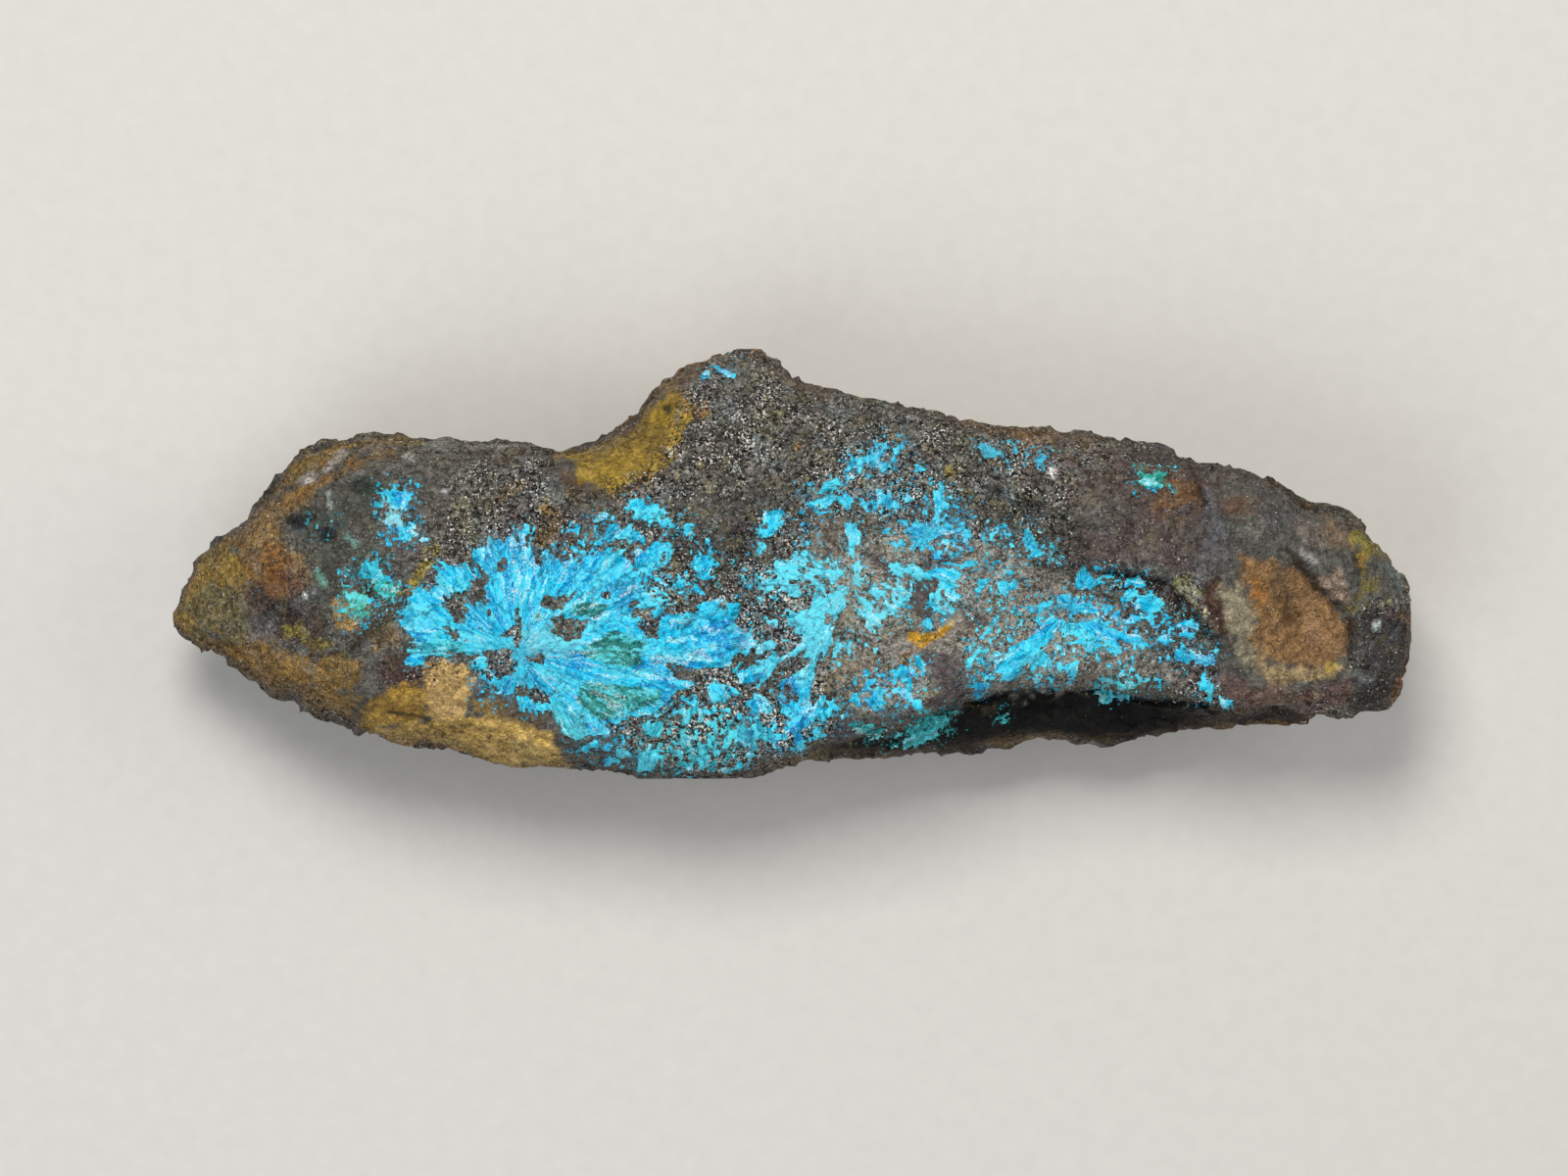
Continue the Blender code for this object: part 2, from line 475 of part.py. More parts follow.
def build_crust(name, rock, parts, cutters):
    """One crust: what lies over its outline, between the rock raised by the gap and raised to its thickness."""
    loops = [CRUSTS[name], *BARE_PATCHES.get(name, ())]
    crust = flat_prism(name, loops, CUTTER_FLOOR, CUTTER_ROOF, cutters)
    top = lifted_copy(rock, CRUST_GAP + CRUST_THICKNESS, cutters)
    crust = modified(crust, "BOOLEAN", operation="INTERSECT", object=top)
    blade_top = lifted_copy(rock, CRUST_GAP + BLADE_THICKNESS, cutters)
    for i, outline in enumerate(blade_outlines(name)):
        floor = CUTTER_FLOOR + CUTTER_STEP * (i + 1)
        blade = flat_prism(f"{name}_blade_{i}", [outline], floor, CUTTER_ROOF, cutters)
        blade = modified(blade, "BOOLEAN", operation="INTERSECT", object=blade_top)
        crust = modified(crust, "BOOLEAN", operation="UNION", object=blade)
        bpy.data.objects.remove(blade, do_unlink=True)
    bottom = lifted_copy(rock, CRUST_GAP, cutters)
    crust = modified(crust, "BOOLEAN", operation="DIFFERENCE", object=bottom)
    for cutter in (top, blade_top, bottom):
        bpy.data.objects.remove(cutter, do_unlink=True)
    cutters.objects.unlink(crust)
    parts.objects.link(crust)
    return crust


def main():
    clear_scene()
    parts = new_collection("lavendulan_specimen", True)
    cutters = new_collection("cutters", False)
    rock = build_matrix(parts, cutters)
    rock.data.materials.append(material("drusy rock", COLOURS["matrix"], 0.8))
    for name in CRUSTS:
        crust = build_crust(name, rock, parts, cutters)
        crust.data.materials.clear()
        crust.data.materials.append(material(name, COLOURS.get(name, COLOURS["crust"]), 0.55))
    for cutter in cutters.objects:
        cutter.hide_render = True
        cutter.display_type = "WIRE"


main()
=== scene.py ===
"""A lavendulan specimen: sky-blue sprays of a copper arsenate on a drusy, iron-stained rock.

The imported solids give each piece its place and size. This script dresses them. The rock gets its fine
relief, stains and quartz druse, and each crust becomes a thin, ragged film of radiating laths that is
seated on the rock. Lengths are in millimetres until a mesh is made, and x and y are those of the solids,
seen from above with the display face up.
"""

import logging
from collections.abc import Callable, Sequence
from dataclasses import dataclass
from enum import Enum, IntEnum
from functools import partial
from itertools import product

import bmesh
import bpy
import numpy as np
from bpy.types import Material, Mesh, Node, NodeSocket, NodeTree, Object, Scene
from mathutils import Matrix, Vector
from mathutils.bvhtree import BVHTree


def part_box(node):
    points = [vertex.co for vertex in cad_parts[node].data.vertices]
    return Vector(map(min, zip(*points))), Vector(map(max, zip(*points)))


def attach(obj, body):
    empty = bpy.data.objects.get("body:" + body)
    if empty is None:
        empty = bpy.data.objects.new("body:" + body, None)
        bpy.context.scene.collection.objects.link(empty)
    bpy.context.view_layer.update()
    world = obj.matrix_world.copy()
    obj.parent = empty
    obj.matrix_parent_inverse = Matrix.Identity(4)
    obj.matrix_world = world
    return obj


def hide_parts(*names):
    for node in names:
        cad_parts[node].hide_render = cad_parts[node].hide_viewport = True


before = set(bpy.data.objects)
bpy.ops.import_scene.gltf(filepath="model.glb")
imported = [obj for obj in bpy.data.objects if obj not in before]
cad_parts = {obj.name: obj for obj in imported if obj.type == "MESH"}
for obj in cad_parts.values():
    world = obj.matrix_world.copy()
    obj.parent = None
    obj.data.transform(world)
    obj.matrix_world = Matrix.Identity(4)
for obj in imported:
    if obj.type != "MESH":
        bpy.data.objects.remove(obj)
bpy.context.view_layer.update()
ROCK_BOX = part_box("matrix")

logging.basicConfig(level=logging.INFO, format="%(message)s")
LOG = logging.getLogger("lavendulan_specimen")

MM = 0.001
BODY = "root"
DRAWN_LENGTH = 1268.0  # the object's length in units of the whole drawing
DRAWN_ZERO = (806.0, 575.0)  # where the object's middle is drawn
DRAWN_PER_MM = DRAWN_LENGTH / ((ROCK_BOX[1][0] - ROCK_BOX[0][0]) / MM)
MIXED = {"data_type": "RGBA"}  # settings of a Mix node that lays one colour over another
TINTED = {"data_type": "RGBA", "blend_type": "MULTIPLY"}  # and of one that shades a colour
COLOUR_LAYERS = ("tone", "tint", "powder_tint")
FAR = 9.0  # mm, further than any soft edge reaches
NOISE_TABLE = 65521  # random values in a pattern, each found by its cell's place times the strides
NOISE_STRIDES = np.array([7919, 31337, 50021])
CELL_STRAY = 0.42  # how far a cell's heart strays from the middle of its square, in widths

Array = np.ndarray
Point = tuple[float, float]
Points = tuple[Point, ...]
Ramp = tuple[float, float, float, float]  # turns its first two values into its last two
AddNode = Callable[..., Node]


class Slot(Enum):
    """The names of the material slots."""

    ROCK = "drusy_rock"
    LAVENDULAN = "lavendulan"


class Seed(IntEnum):
    """The random values that each pattern takes, or the first of several."""

    FRAY = 3
    FLAKES = 4
    LUMPS = 5
    STRATA = 13
    WARP = 14
    FACETS = 21
    WALLS = 31
    STAINS_AND_PAINTED_LIGHT = 41
    BANDS = 61
    BAND_DRIFT = 67
    TINTS = 71
    DRUSE = 81
    LATH_RELIEF = 91
    LATHS = 100
    HAZES = 200
    CLUSTERS = 251


@dataclass(frozen=True)
class Stain:
    """A patch of colour with a soft, ragged edge: an area, or a streak where it has a radius.

    cover is how much of what is under it it hides, and edge the width of its soft rim in mm.
    """

    outline: Points
    colour: str
    cover: float
    edge: float
    radius: float = 0.0


@dataclass(frozen=True)
class Sheet:
    """A sheet of the drawing of the display face, whose points count right and down from its corner.

    left and top place that corner on the whole drawing, and zoom is how much larger the sheet is.
    """

    left: float
    top: float
    zoom: float

    def mm(self, places: str) -> Points:
        """Turns places on this sheet into points on the object.

        Args:
            places: The x,y of each place in turn, with spaces between.

        Returns:
            The points, in mm.
        """
        drawn = [[float(number) for number in place.split(",")] for place in places.split()]
        return tuple(((self.left + x / self.zoom - DRAWN_ZERO[0]) / DRAWN_PER_MM,
                      (DRAWN_ZERO[1] - self.top - y / self.zoom) / DRAWN_PER_MM) for x, y in drawn)

    def areas(self, outlines: str) -> tuple[Points, ...]:
        """Turns outlines on this sheet, with semicolons between, into outlines on the object."""
        return tuple(self.mm(outline) for outline in outlines.split(";"))

    def each(self, kind: type, rows: str) -> tuple:
        """Makes one thing of a kind for each row.

        Args:
            kind: Stain, Haze, Speck, Zone, Groove or Ledge.
            rows: Each thing's places on this sheet and then its values, with semicolons between things.

        Returns:
            The things, in the same order.
        """
        made = []
        for row in rows.split(";"):
            places = [word for word in row.split() if "," in word]
            values = [word if word.startswith("#") else float(word) for word in row.split()[len(places):]]
            made.append(kind(self.mm(" ".join(places)), *values))
        return tuple(made)


WHOLE = Sheet(0, 0, 1)
WEST_TIP, WEST_HIGH, WEST_LOW = Sheet(160, 340, 3.92), Sheet(400, 420, 3.92), Sheet(400, 560, 3.92)
WEST_NOOK = Sheet(280, 470, 6)
MID_HIGH, MID_LOW = Sheet(640, 340, 4.356), Sheet(650, 560, 3.92)
EAST_HIGH, EAST_LOW, EAST_TIP = Sheet(900, 400, 4.48), Sheet(950, 560, 4.48), Sheet(1150, 440, 5.058)


@dataclass(frozen=True)
class Haze:
    """An area where the film is broken into scattered flecks.

    share is the part of the rock that the flecks cover, and grain the size of a fleck in mm.
    """

    outline: Points
    share: float
    grain: float


@dataclass(frozen=True)
class Speck:
    """A small round film, or a thread of it along a few points, of this radius in mm."""

    path: Points
    radius: float


@dataclass(frozen=True)
class Region:
    """One spray of lavendulan: its films, the bare rock inside them and the flecks round them.

    heart is where its laths radiate from. A loose region has no solid that it stands for.
    """

    name: str
    heart: Points
    films: tuple[Points, ...]
    loose: bool = False
    bare: tuple[Points, ...] = ()
    specks: tuple[Speck, ...] = ()
    haze: tuple[Haze, ...] = ()


@dataclass(frozen=True)
class Zone:
    """An area with its own strength of quartz druse, which changes over edge mm on each side of it."""

    outline: Points
    strength: float
    edge: float


@dataclass(frozen=True)
class Groove:
    """A crack or furrow of this depth and half width, or a rib where the depth is negative."""

    path: Points
    depth: float
    width: float


@dataclass(frozen=True)
class Ledge:
    """A broken edge: what is left of the path stands this much proud, and sinks back over fade mm."""

    path: Points
    rise: float
    fade: float


# The sprays, each with the outlines of its films, whose corners follow one another round the film.
REGIONS = (
    Region(
        name="west_rosette", heart=WHOLE.mm("530,666"),
        films=WEST_HIGH.areas("""
        45,805 78,768 66,745 95,722 120,715 150,728 185,705 222,700 238,735 212,770 262,830 300,850 312,770
        385,775 400,760 372,690 400,668 343,598 340,562 402,513 512,515 517,465 540,459 563,470 548,525
        582,600 602,615 628,600 762,602 785,592 812,550 840,545 930,565 962,650 1000,668 985,735 950,800
        996,842 990,862 1030,908 1066,915 1074,905 1070,815 1112,800 1212,798 1225,762 1310,731 1388,760
        1406,790 1384,834 1402,860 1396,885 1430,903 1441,930 1420,958 1374,942 1346,996 1328,1006 1240,1028
        1190,1031 1086,988 1126,1046 1196,1092 1080,1190 900,1245 840,1291 740,1298 700,1285 648,1222 648,1122
        512,1088 500,1124 470,1127 420,1095 448,1062 482,1050 504,1000 480,960 372,952 345,975 180,966 132,974
        127,1002 96,1014 78,1000 86,975 62,952 94,935 92,898 62,866;
        190,640 200,617 296,615 346,642 350,665 312,712 252,722 205,690;
        345,975 372,968 395,985 385,1012 360,1022 340,1008;
        372,1050 420,1080 400,1090;
        862,492 880,470 970,465 1000,482 1022,532;
        820,530 858,500 872,516 842,548;
        945,360 962,344 1000,350 1066,380 1062,402 1040,415 1046,440 1028,456 955,395;
        690,482 720,460 746,465 740,484 710,494;
        808,408 862,416 858,430 835,434;
        968,562 990,545 1010,570 1038,560 1048,530 1066,535 1086,570 1080,610 1042,636 1010,626 985,610
        984,580;
        1098,532 1115,545 1112,580 1092,604;
        1225,600 1262,588 1290,612 1255,666 1234,650;
        985,735 1010,730 1050,752 1130,768 1085,796 1040,792 1000,775;
        1130,690 1170,680 1215,690 1270,738 1225,745 1200,712 1150,706
        """) + WEST_LOW.areas("""
        500,602 522,590 640,612 650,640 610,655 560,650 528,638
        """),
        bare=WEST_LOW.areas("""
        250,180 318,172 345,150 352,100 378,95 400,120 378,180 402,215 372,226 312,212 300,240 308,285 295,300
        212,232 250,212 240,195;
        212,312 240,303 276,318 288,340 262,362;
        385,248 400,236 412,260 405,282 388,272;
        505,232 520,245 529,350 520,398 505,400 494,345 472,356 445,345 500,300;
        500,408 440,442 372,458 392,440 372,410 490,395;
        498,425 428,496 398,496 384,478;
        530,419 560,430 600,416 622,432 612,463 552,444;
        507,436 512,470 492,516
        """) + WEST_HIGH.areas("""
        428,600 455,590 475,605 445,655 425,640;
        590,770 615,735 650,733 668,748 766,710 690,792 650,800;
        620,832 640,812 690,805 702,826 824,840 778,870 772,896 700,916 640,880 650,850;
        840,715 880,720 872,750 848,745;
        1072,745 1150,762 1180,740 1160,712 1205,712 1240,742 1200,772 1092,800 1076,790 1130,768;
        1138,862 1188,868 1180,880 1145,876;
        1310,778 1330,765 1344,790 1330,796;
        420,990 460,980 482,1000 450,1030 415,1040 392,1028
        """),
        specks=WEST_LOW.each(Speck, "325,196 .22"),
        haze=WEST_HIGH.each(Haze, """
        985,640 1060,625 1130,650 1200,680 1190,720 1100,760 1000,730 .55 .3;
        1040,380 1190,450 1180,500 1045,450 .42 .32;
        600,560 780,540 800,600 620,620 .45 .3;
        1215,520 1270,520 1300,580 1290,670 1225,660 .4 .28
        """) + WEST_LOW.each(Haze, """
        350,490 430,495 480,600 380,590 345,540 .4 .3
        """) + WEST_HIGH.each(Haze, """
        800,440 870,430 880,520 790,560 .2 .3
        """),
    ),
    Region(
        name="south_laths", heart=WHOLE.mm("700,640"),
        films=MID_LOW.areas("""
        282,548 310,530 402,570 390,592 350,611 308,606 282,578;
        422,612 448,590 490,588 542,620 480,672 442,662
        """),
    ),
    Region(
        name="south_field", heart=WHOLE.mm("700,560"), loose=True,
        films=MID_LOW.areas("""
        36,705 60,690 98,690 104,720 78,748 50,732;
        160,742 196,724 240,735 232,770 190,782;
        330,745 418,700 470,690 502,702 492,760 452,790 462,812 380,772 342,772;
        180,650 215,640 225,672 196,690;
        178,868 205,862 218,885 196,898;
        10,800 60,790 100,830 88,880 40,880 0,860;
        352,892 420,852 432,868 400,890;
        690,735 712,722 722,745 704,762;
        250,800 290,780 300,850 262,880 246,840
        """),
        haze=MID_LOW.each(Haze, """
        -190,700 0,690 170,620 330,600 430,680 520,640 600,700 620,790 300,905 100,915 -260,840 .37 .42;
        -240,760 -150,720 -60,760 60,740 300,760 430,700 480,790 330,890 100,900 -100,890 -260,840 .2 .5
        """),
    ),
    Region(
        name="middle_spray", heart=WHOLE.mm("868,597"),
        films=WHOLE.areas("""
        866,536 872,540 876,554 870,570 866,566 862,550
        """) + MID_LOW.areas("""
        862,60 888,50 905,72 886,86;
        485,170 490,150 556,110 570,66 640,40 682,40 676,65 650,85 666,100 622,116 600,96 590,116 512,166;
        588,150 630,150 655,166 640,190 610,182;
        700,40 752,86 825,85 831,104 780,146 735,106;
        692,112 720,122 738,148 704,162;
        848,148 812,262 770,300 799,350 795,388 740,425 702,500 708,550 690,642 640,590 610,580 600,545
        558,548 610,490 680,462 690,440 670,414 560,460 480,545 440,551 414,540 384,490 410,470 520,450
        656,380 655,340 620,322 574,268 590,254 688,240 690,180 720,174 748,192 825,148;
        856,112 885,106 893,125 872,150 868,180 898,235 912,310 936,326 986,275 940,250 934,215 888,185
        880,140;
        925,140 950,140 986,190 960,200 935,176;
        1022,166 1050,155 1076,174 1078,200 1062,235 990,256 975,240 1036,215 1046,196 1022,190;
        600,590 690,642 720,600 742,600 762,620 790,610 812,640 780,650 770,690 740,712 720,680 700,690
        690,720 665,730 655,780 640,792 620,730 590,740 568,720 620,660 600,640;
        862,580 930,600 985,540 1010,555 1040,545 1062,560 1096,560 1101,580 1070,602 1010,570 960,610 956,645
        936,659 905,612 880,620 862,602;
        886,560 926,534 896,576;
        1000,520 1020,495 1090,480 1100,450 1130,430 1146,440 1126,460 1131,490 1100,516 1070,506 1040,510
        1028,530;
        1108,602 1146,585 1146,640 1126,651;
        462,395 490,372 532,366 530,392 478,410
        """),
        bare=MID_LOW.areas("""
        740,292 755,265 785,260 790,280 770,302 745,306;
        868,150 905,145 918,175 905,190 880,182
        """),
        specks=MID_LOW.each(Speck, "808,400 850,372 .1"),
        haze=MID_LOW.each(Haze, """
        470,110 700,30 840,60 820,160 560,210 470,190 .36 .26;
        540,560 620,570 700,640 830,600 820,660 760,740 640,800 520,760 .34 .3;
        850,520 1130,430 1150,600 1080,640 900,640 820,600 .25 .28;
        460,270 620,260 650,400 540,440 440,380 .16 .24;
        720,350 900,280 980,400 760,470 .1 .3;
        880,100 1090,140 1080,260 960,340 900,300 .22 .24
        """),
    ),
    Region(
        name="north_streak", heart=WHOLE.mm("868,590"),
        films=MID_HIGH.areas("""
        972,600 1136,512 1150,520 1120,560 1040,600;
        1100,590 1140,575 1180,582 1170,600 1130,606;
        972,632 990,612 998,622 982,645
        """),
        haze=MID_HIGH.each(Haze, """
        960,560 1180,460 1240,470 1230,520 1160,560 1190,590 1060,640 960,640 .38 .26
        """),
    ),
    Region(
        name="north_cluster", heart=WHOLE.mm("905,560"),
        films=MID_HIGH.areas("""
        1042,770 1058,748 1090,742 1092,718 1122,712 1140,735 1172,722 1186,742 1240,720 1256,740 1200,764
        1164,812 1128,762 1062,785;
        950,740 970,706 990,722 992,750 970,768;
        1195,690 1240,684 1254,700 1220,712
        """),
        haze=MID_HIGH.each(Haze, "1030,720 1260,680 1320,720 1300,790 1060,830 .36 .22"),
    ),
    Region(
        name="north_star", heart=WHOLE.mm("946,543"),
        films=EAST_HIGH.areas("""
        100,642 120,610 182,594 210,605 240,588 266,610 382,640 390,658 262,650 216,680 186,736 162,730
        166,702 140,690 150,665;
        38,692 86,670 96,695 80,726 50,722;
        110,712 140,698 146,720 120,741;
        246,470 262,464 284,520 250,600 236,585
        """) + MID_HIGH.areas("""
        1124,890 1150,865 1182,862 1140,902
        """),
        haze=EAST_HIGH.each(Haze, "230,440 290,430 400,540 400,740 180,740 100,700 90,600 200,560 .42 .26"),
    ),
    Region(
        name="centre_laths", heart=WHOLE.mm("890,560"),
        films=EAST_HIGH.areas("""
        10,770 75,785 99,810 90,842 60,841;
        105,796 140,790 192,835 165,857 135,850 110,830;
        205,826 290,798 340,800 400,764 407,784 352,830 350,856 330,872 345,940 320,950 290,912 260,906
        238,862 206,862 192,846;
        330,940 400,934 440,866 480,854 410,946 368,956;
        235,962 262,985 290,974 300,1000 278,1012 250,1002;
        190,1060 210,1040 217,1070 200,1082
        """),
        haze=EAST_HIGH.each(Haze, """
        220,900 260,900 300,1010 240,1010 .45 .24;
        340,860 420,820 480,850 430,930 350,930 .2 .24
        """),
    ),
    Region(
        name="north_tip", heart=WHOLE.mm("1012,470"), loose=True,
        films=EAST_HIGH.areas("""
        425,240 450,229 552,286 542,300 470,302;
        150,340 176,336 182,356 160,362;
        705,306 725,290 742,292 722,314
        """) + MID_HIGH.areas("""
        868,690 890,665 930,650 940,662 872,702;
        804,766 850,730 822,782;
        850,790 900,728 908,740 880,790 856,806;
        620,830 680,790 690,815 680,850 655,862;
        604,884 636,870 650,880 610,900;
        578,968 600,946 612,955 590,975;
        405,150 460,165 462,186 412,168;
        330,184 350,172 358,186 340,196
        """),
        haze=EAST_HIGH.each(Haze, """
        550,275 760,290 720,320 560,305 .3 .22
        """) + MID_HIGH.each(Haze, """
        770,700 960,640 900,800 760,800 .26 .26;
        760,1000 790,820 830,820 800,1000 .42 .24;
        600,880 620,800 760,800 700,860 610,900 .2 .24;
        380,150 460,140 490,170 460,200 .3 .22
        """) + MID_LOW.each(Haze, """
        430,60 450,60 440,300 425,200 .3 .24
        """) + EAST_HIGH.each(Haze, """
        -80,480 110,470 130,500 60,580 -60,560 .2 .22
        """),
    ),
    Region(
        name="east_haze", heart=WHOLE.mm("1060,560"), loose=True,
        films=EAST_HIGH.areas("""
        640,632 658,620 712,730 700,760 680,750 645,682;
        535,915 530,882 570,860 636,890 572,926
        """),
        haze=EAST_HIGH.each(Haze, """
        440,640 500,615 600,640 580,690 500,700 .36 .24;
        630,620 820,720 800,770 700,770 650,720 .36 .24;
        500,850 600,840 650,890 620,930 520,930 .35 .24;
        420,740 640,740 660,820 520,850 420,820 .18 .24;
        440,930 700,960 760,1000 660,1080 480,1060 380,980 .2 .24
        """),
    ),
    Region(
        name="east_patch", heart=WHOLE.mm("1090,620"),
        films=EAST_HIGH.areas("""
        875,850 885,820 905,811 992,875 945,901 925,896 905,917 895,890 872,882;
        1090,870 1110,850 1160,845 1201,885 1088,902;
        790,940 850,919 880,965 960,975 986,995 986,1021 860,1010 820,992;
        698,992 772,950 770,971 712,1012;
        1110,910 1150,904 1180,930 1220,920 1271,985 1230,1001 1216,1031 1166,1000 1140,1066 1105,1061
        1074,1046 1131,1000 1094,940;
        690,1030 720,1040 730,1061 772,1018 850,1061 980,1050 1060,1096 1161,1090 1161,1131 1130,1161
        1030,1130 1020,1151 980,1161 950,1191 920,1181 900,1150 860,1150 902,1120 800,1090 770,1101 760,1141
        720,1151 648,1131 700,1100 711,1070;
        568,1200 600,1165 640,1150 722,1190 620,1262 600,1240 560,1241;
        760,1190 790,1168 812,1190 790,1216;
        793,1241 892,1235 870,1260 871,1301 840,1322
        """) + EAST_LOW.areas("""
        870,600 900,584 936,600 920,626 885,627;
        197,622 245,600 266,614 215,671;
        300,572 350,541 381,540 396,560 386,591 348,602;
        146,520 156,500 172,506 168,528;
        540,470 560,452 585,462 576,492 552,500
        """),
        bare=EAST_HIGH.areas("""
        1126,940 1160,936 1156,953 1134,956
        """),
        haze=EAST_HIGH.each(Haze, """
        990,820 1180,840 1210,890 1080,900 1000,860 .3 .24;
        680,940 760,920 1000,960 1180,1080 1160,1180 560,1270 560,1180 680,1120 .3 .3
        """) + EAST_LOW.each(Haze, """
        170,440 420,430 560,480 560,600 300,600 210,670 160,640 .44 .22;
        240,300 480,310 440,430 200,440 .2 .22;
        780,480 880,480 960,600 1070,570 1060,620 900,640 780,560 .25 .26
        """) + EAST_HIGH.each(Haze, """
        980,940 1110,930 1110,1040 990,1060 .14 .24
        """),
    ),
    Region(
        name="east_chain", heart=WHOLE.mm("1150,640"),
        films=EAST_HIGH.areas("""
        1168,1148 1196,1138 1206,1165 1180,1172;
        1240,1126 1290,1114 1331,1130 1290,1171;
        1308,1070 1386,1050 1421,1070 1392,1080 1400,1100 1380,1111 1350,1081 1316,1086;
        1313,1190 1360,1154 1406,1200 1386,1236 1350,1241 1318,1216;
        1428,1216 1500,1199 1516,1225 1480,1246 1448,1241
        """),
        specks=EAST_HIGH.each(Speck, "1290,1022 .16"),
        haze=EAST_HIGH.each(Haze, "1160,1000 1330,1000 1440,1070 1530,1200 1480,1250 1200,1190 .2 .26"),
    ),
    Region(
        name="rim_flecks", heart=WHOLE.mm("1240,640"), loose=True,
        films=EAST_LOW.areas("""
        1220,616 1282,635 1252,651;
        1222,565 1240,560 1252,590 1238,590;
        1238,682 1262,674 1300,690 1290,698;
        1322,704 1350,700 1378,716 1366,724
        """),
    ),
    Region(
        name="northwest_fleck", heart=WHOLE.mm("412,524"),
        films=WEST_NOOK.areas("""
        706,200 742,176 800,182 846,206 848,256 820,300 770,310 722,286;
        690,316 738,306 788,330 784,378 742,398 696,380;
        770,412 810,398 864,412 868,452 830,478 784,462
        """),
        haze=WHOLE.each(Haze, "390,498 424,498 430,550 402,554 390,530 .4 .24"),
    ),
    Region(
        name="teal_fleck", heart=WHOLE.mm("380,600"),
        films=WEST_NOOK.areas("""
        528,690 560,640 628,626 690,664 684,722 640,742 556,724;
        622,772 664,744 768,786 752,822 700,836 650,816;
        462,820 486,800 560,808 596,850 580,900 520,930 474,900
        """),
        haze=WHOLE.each(Haze, "352,585 366,576 398,574 412,600 384,628 356,634 .3 .22"),
    ),
    Region(
        name="teal_specks", heart=WHOLE.mm("350,600"), loose=True,
        films=WHOLE.areas("""
        1161,486 1180,481 1188,488 1182,496 1170,497 1163,493
        """),
        haze=WHOLE.each(Haze, """
        320,530 345,530 345,546 322,546 .16 .22;
        356,604 382,606 378,632 357,634 .4 .3;
        1160,480 1192,480 1192,498 1160,498 .3 .24
        """),
    ),
    Region(
        name="shelf_teal", heart=WHOLE.mm("1130,690"), loose=True,
        films=WHOLE.areas("""
        921,745 932,733 950,727 966,731 969,741 960,750 926,763 930,752;
        1018,731 1023,728 1029,730 1026,736 1019,735;
        870,742 890,738 906,742 896,748 876,748
        """),
        haze=WHOLE.each(Haze, "865,745 970,722 974,748 930,765 .32 .26"),
    ),
    Region(
        name="rim_fibres", heart=WHOLE.mm("1128,640"), loose=True,
        films=EAST_LOW.areas("""
        742,618 790,580 830,589 892,640 800,622 770,636;
        768,652 830,650 916,680 830,701 788,684
        """),
    ),
)
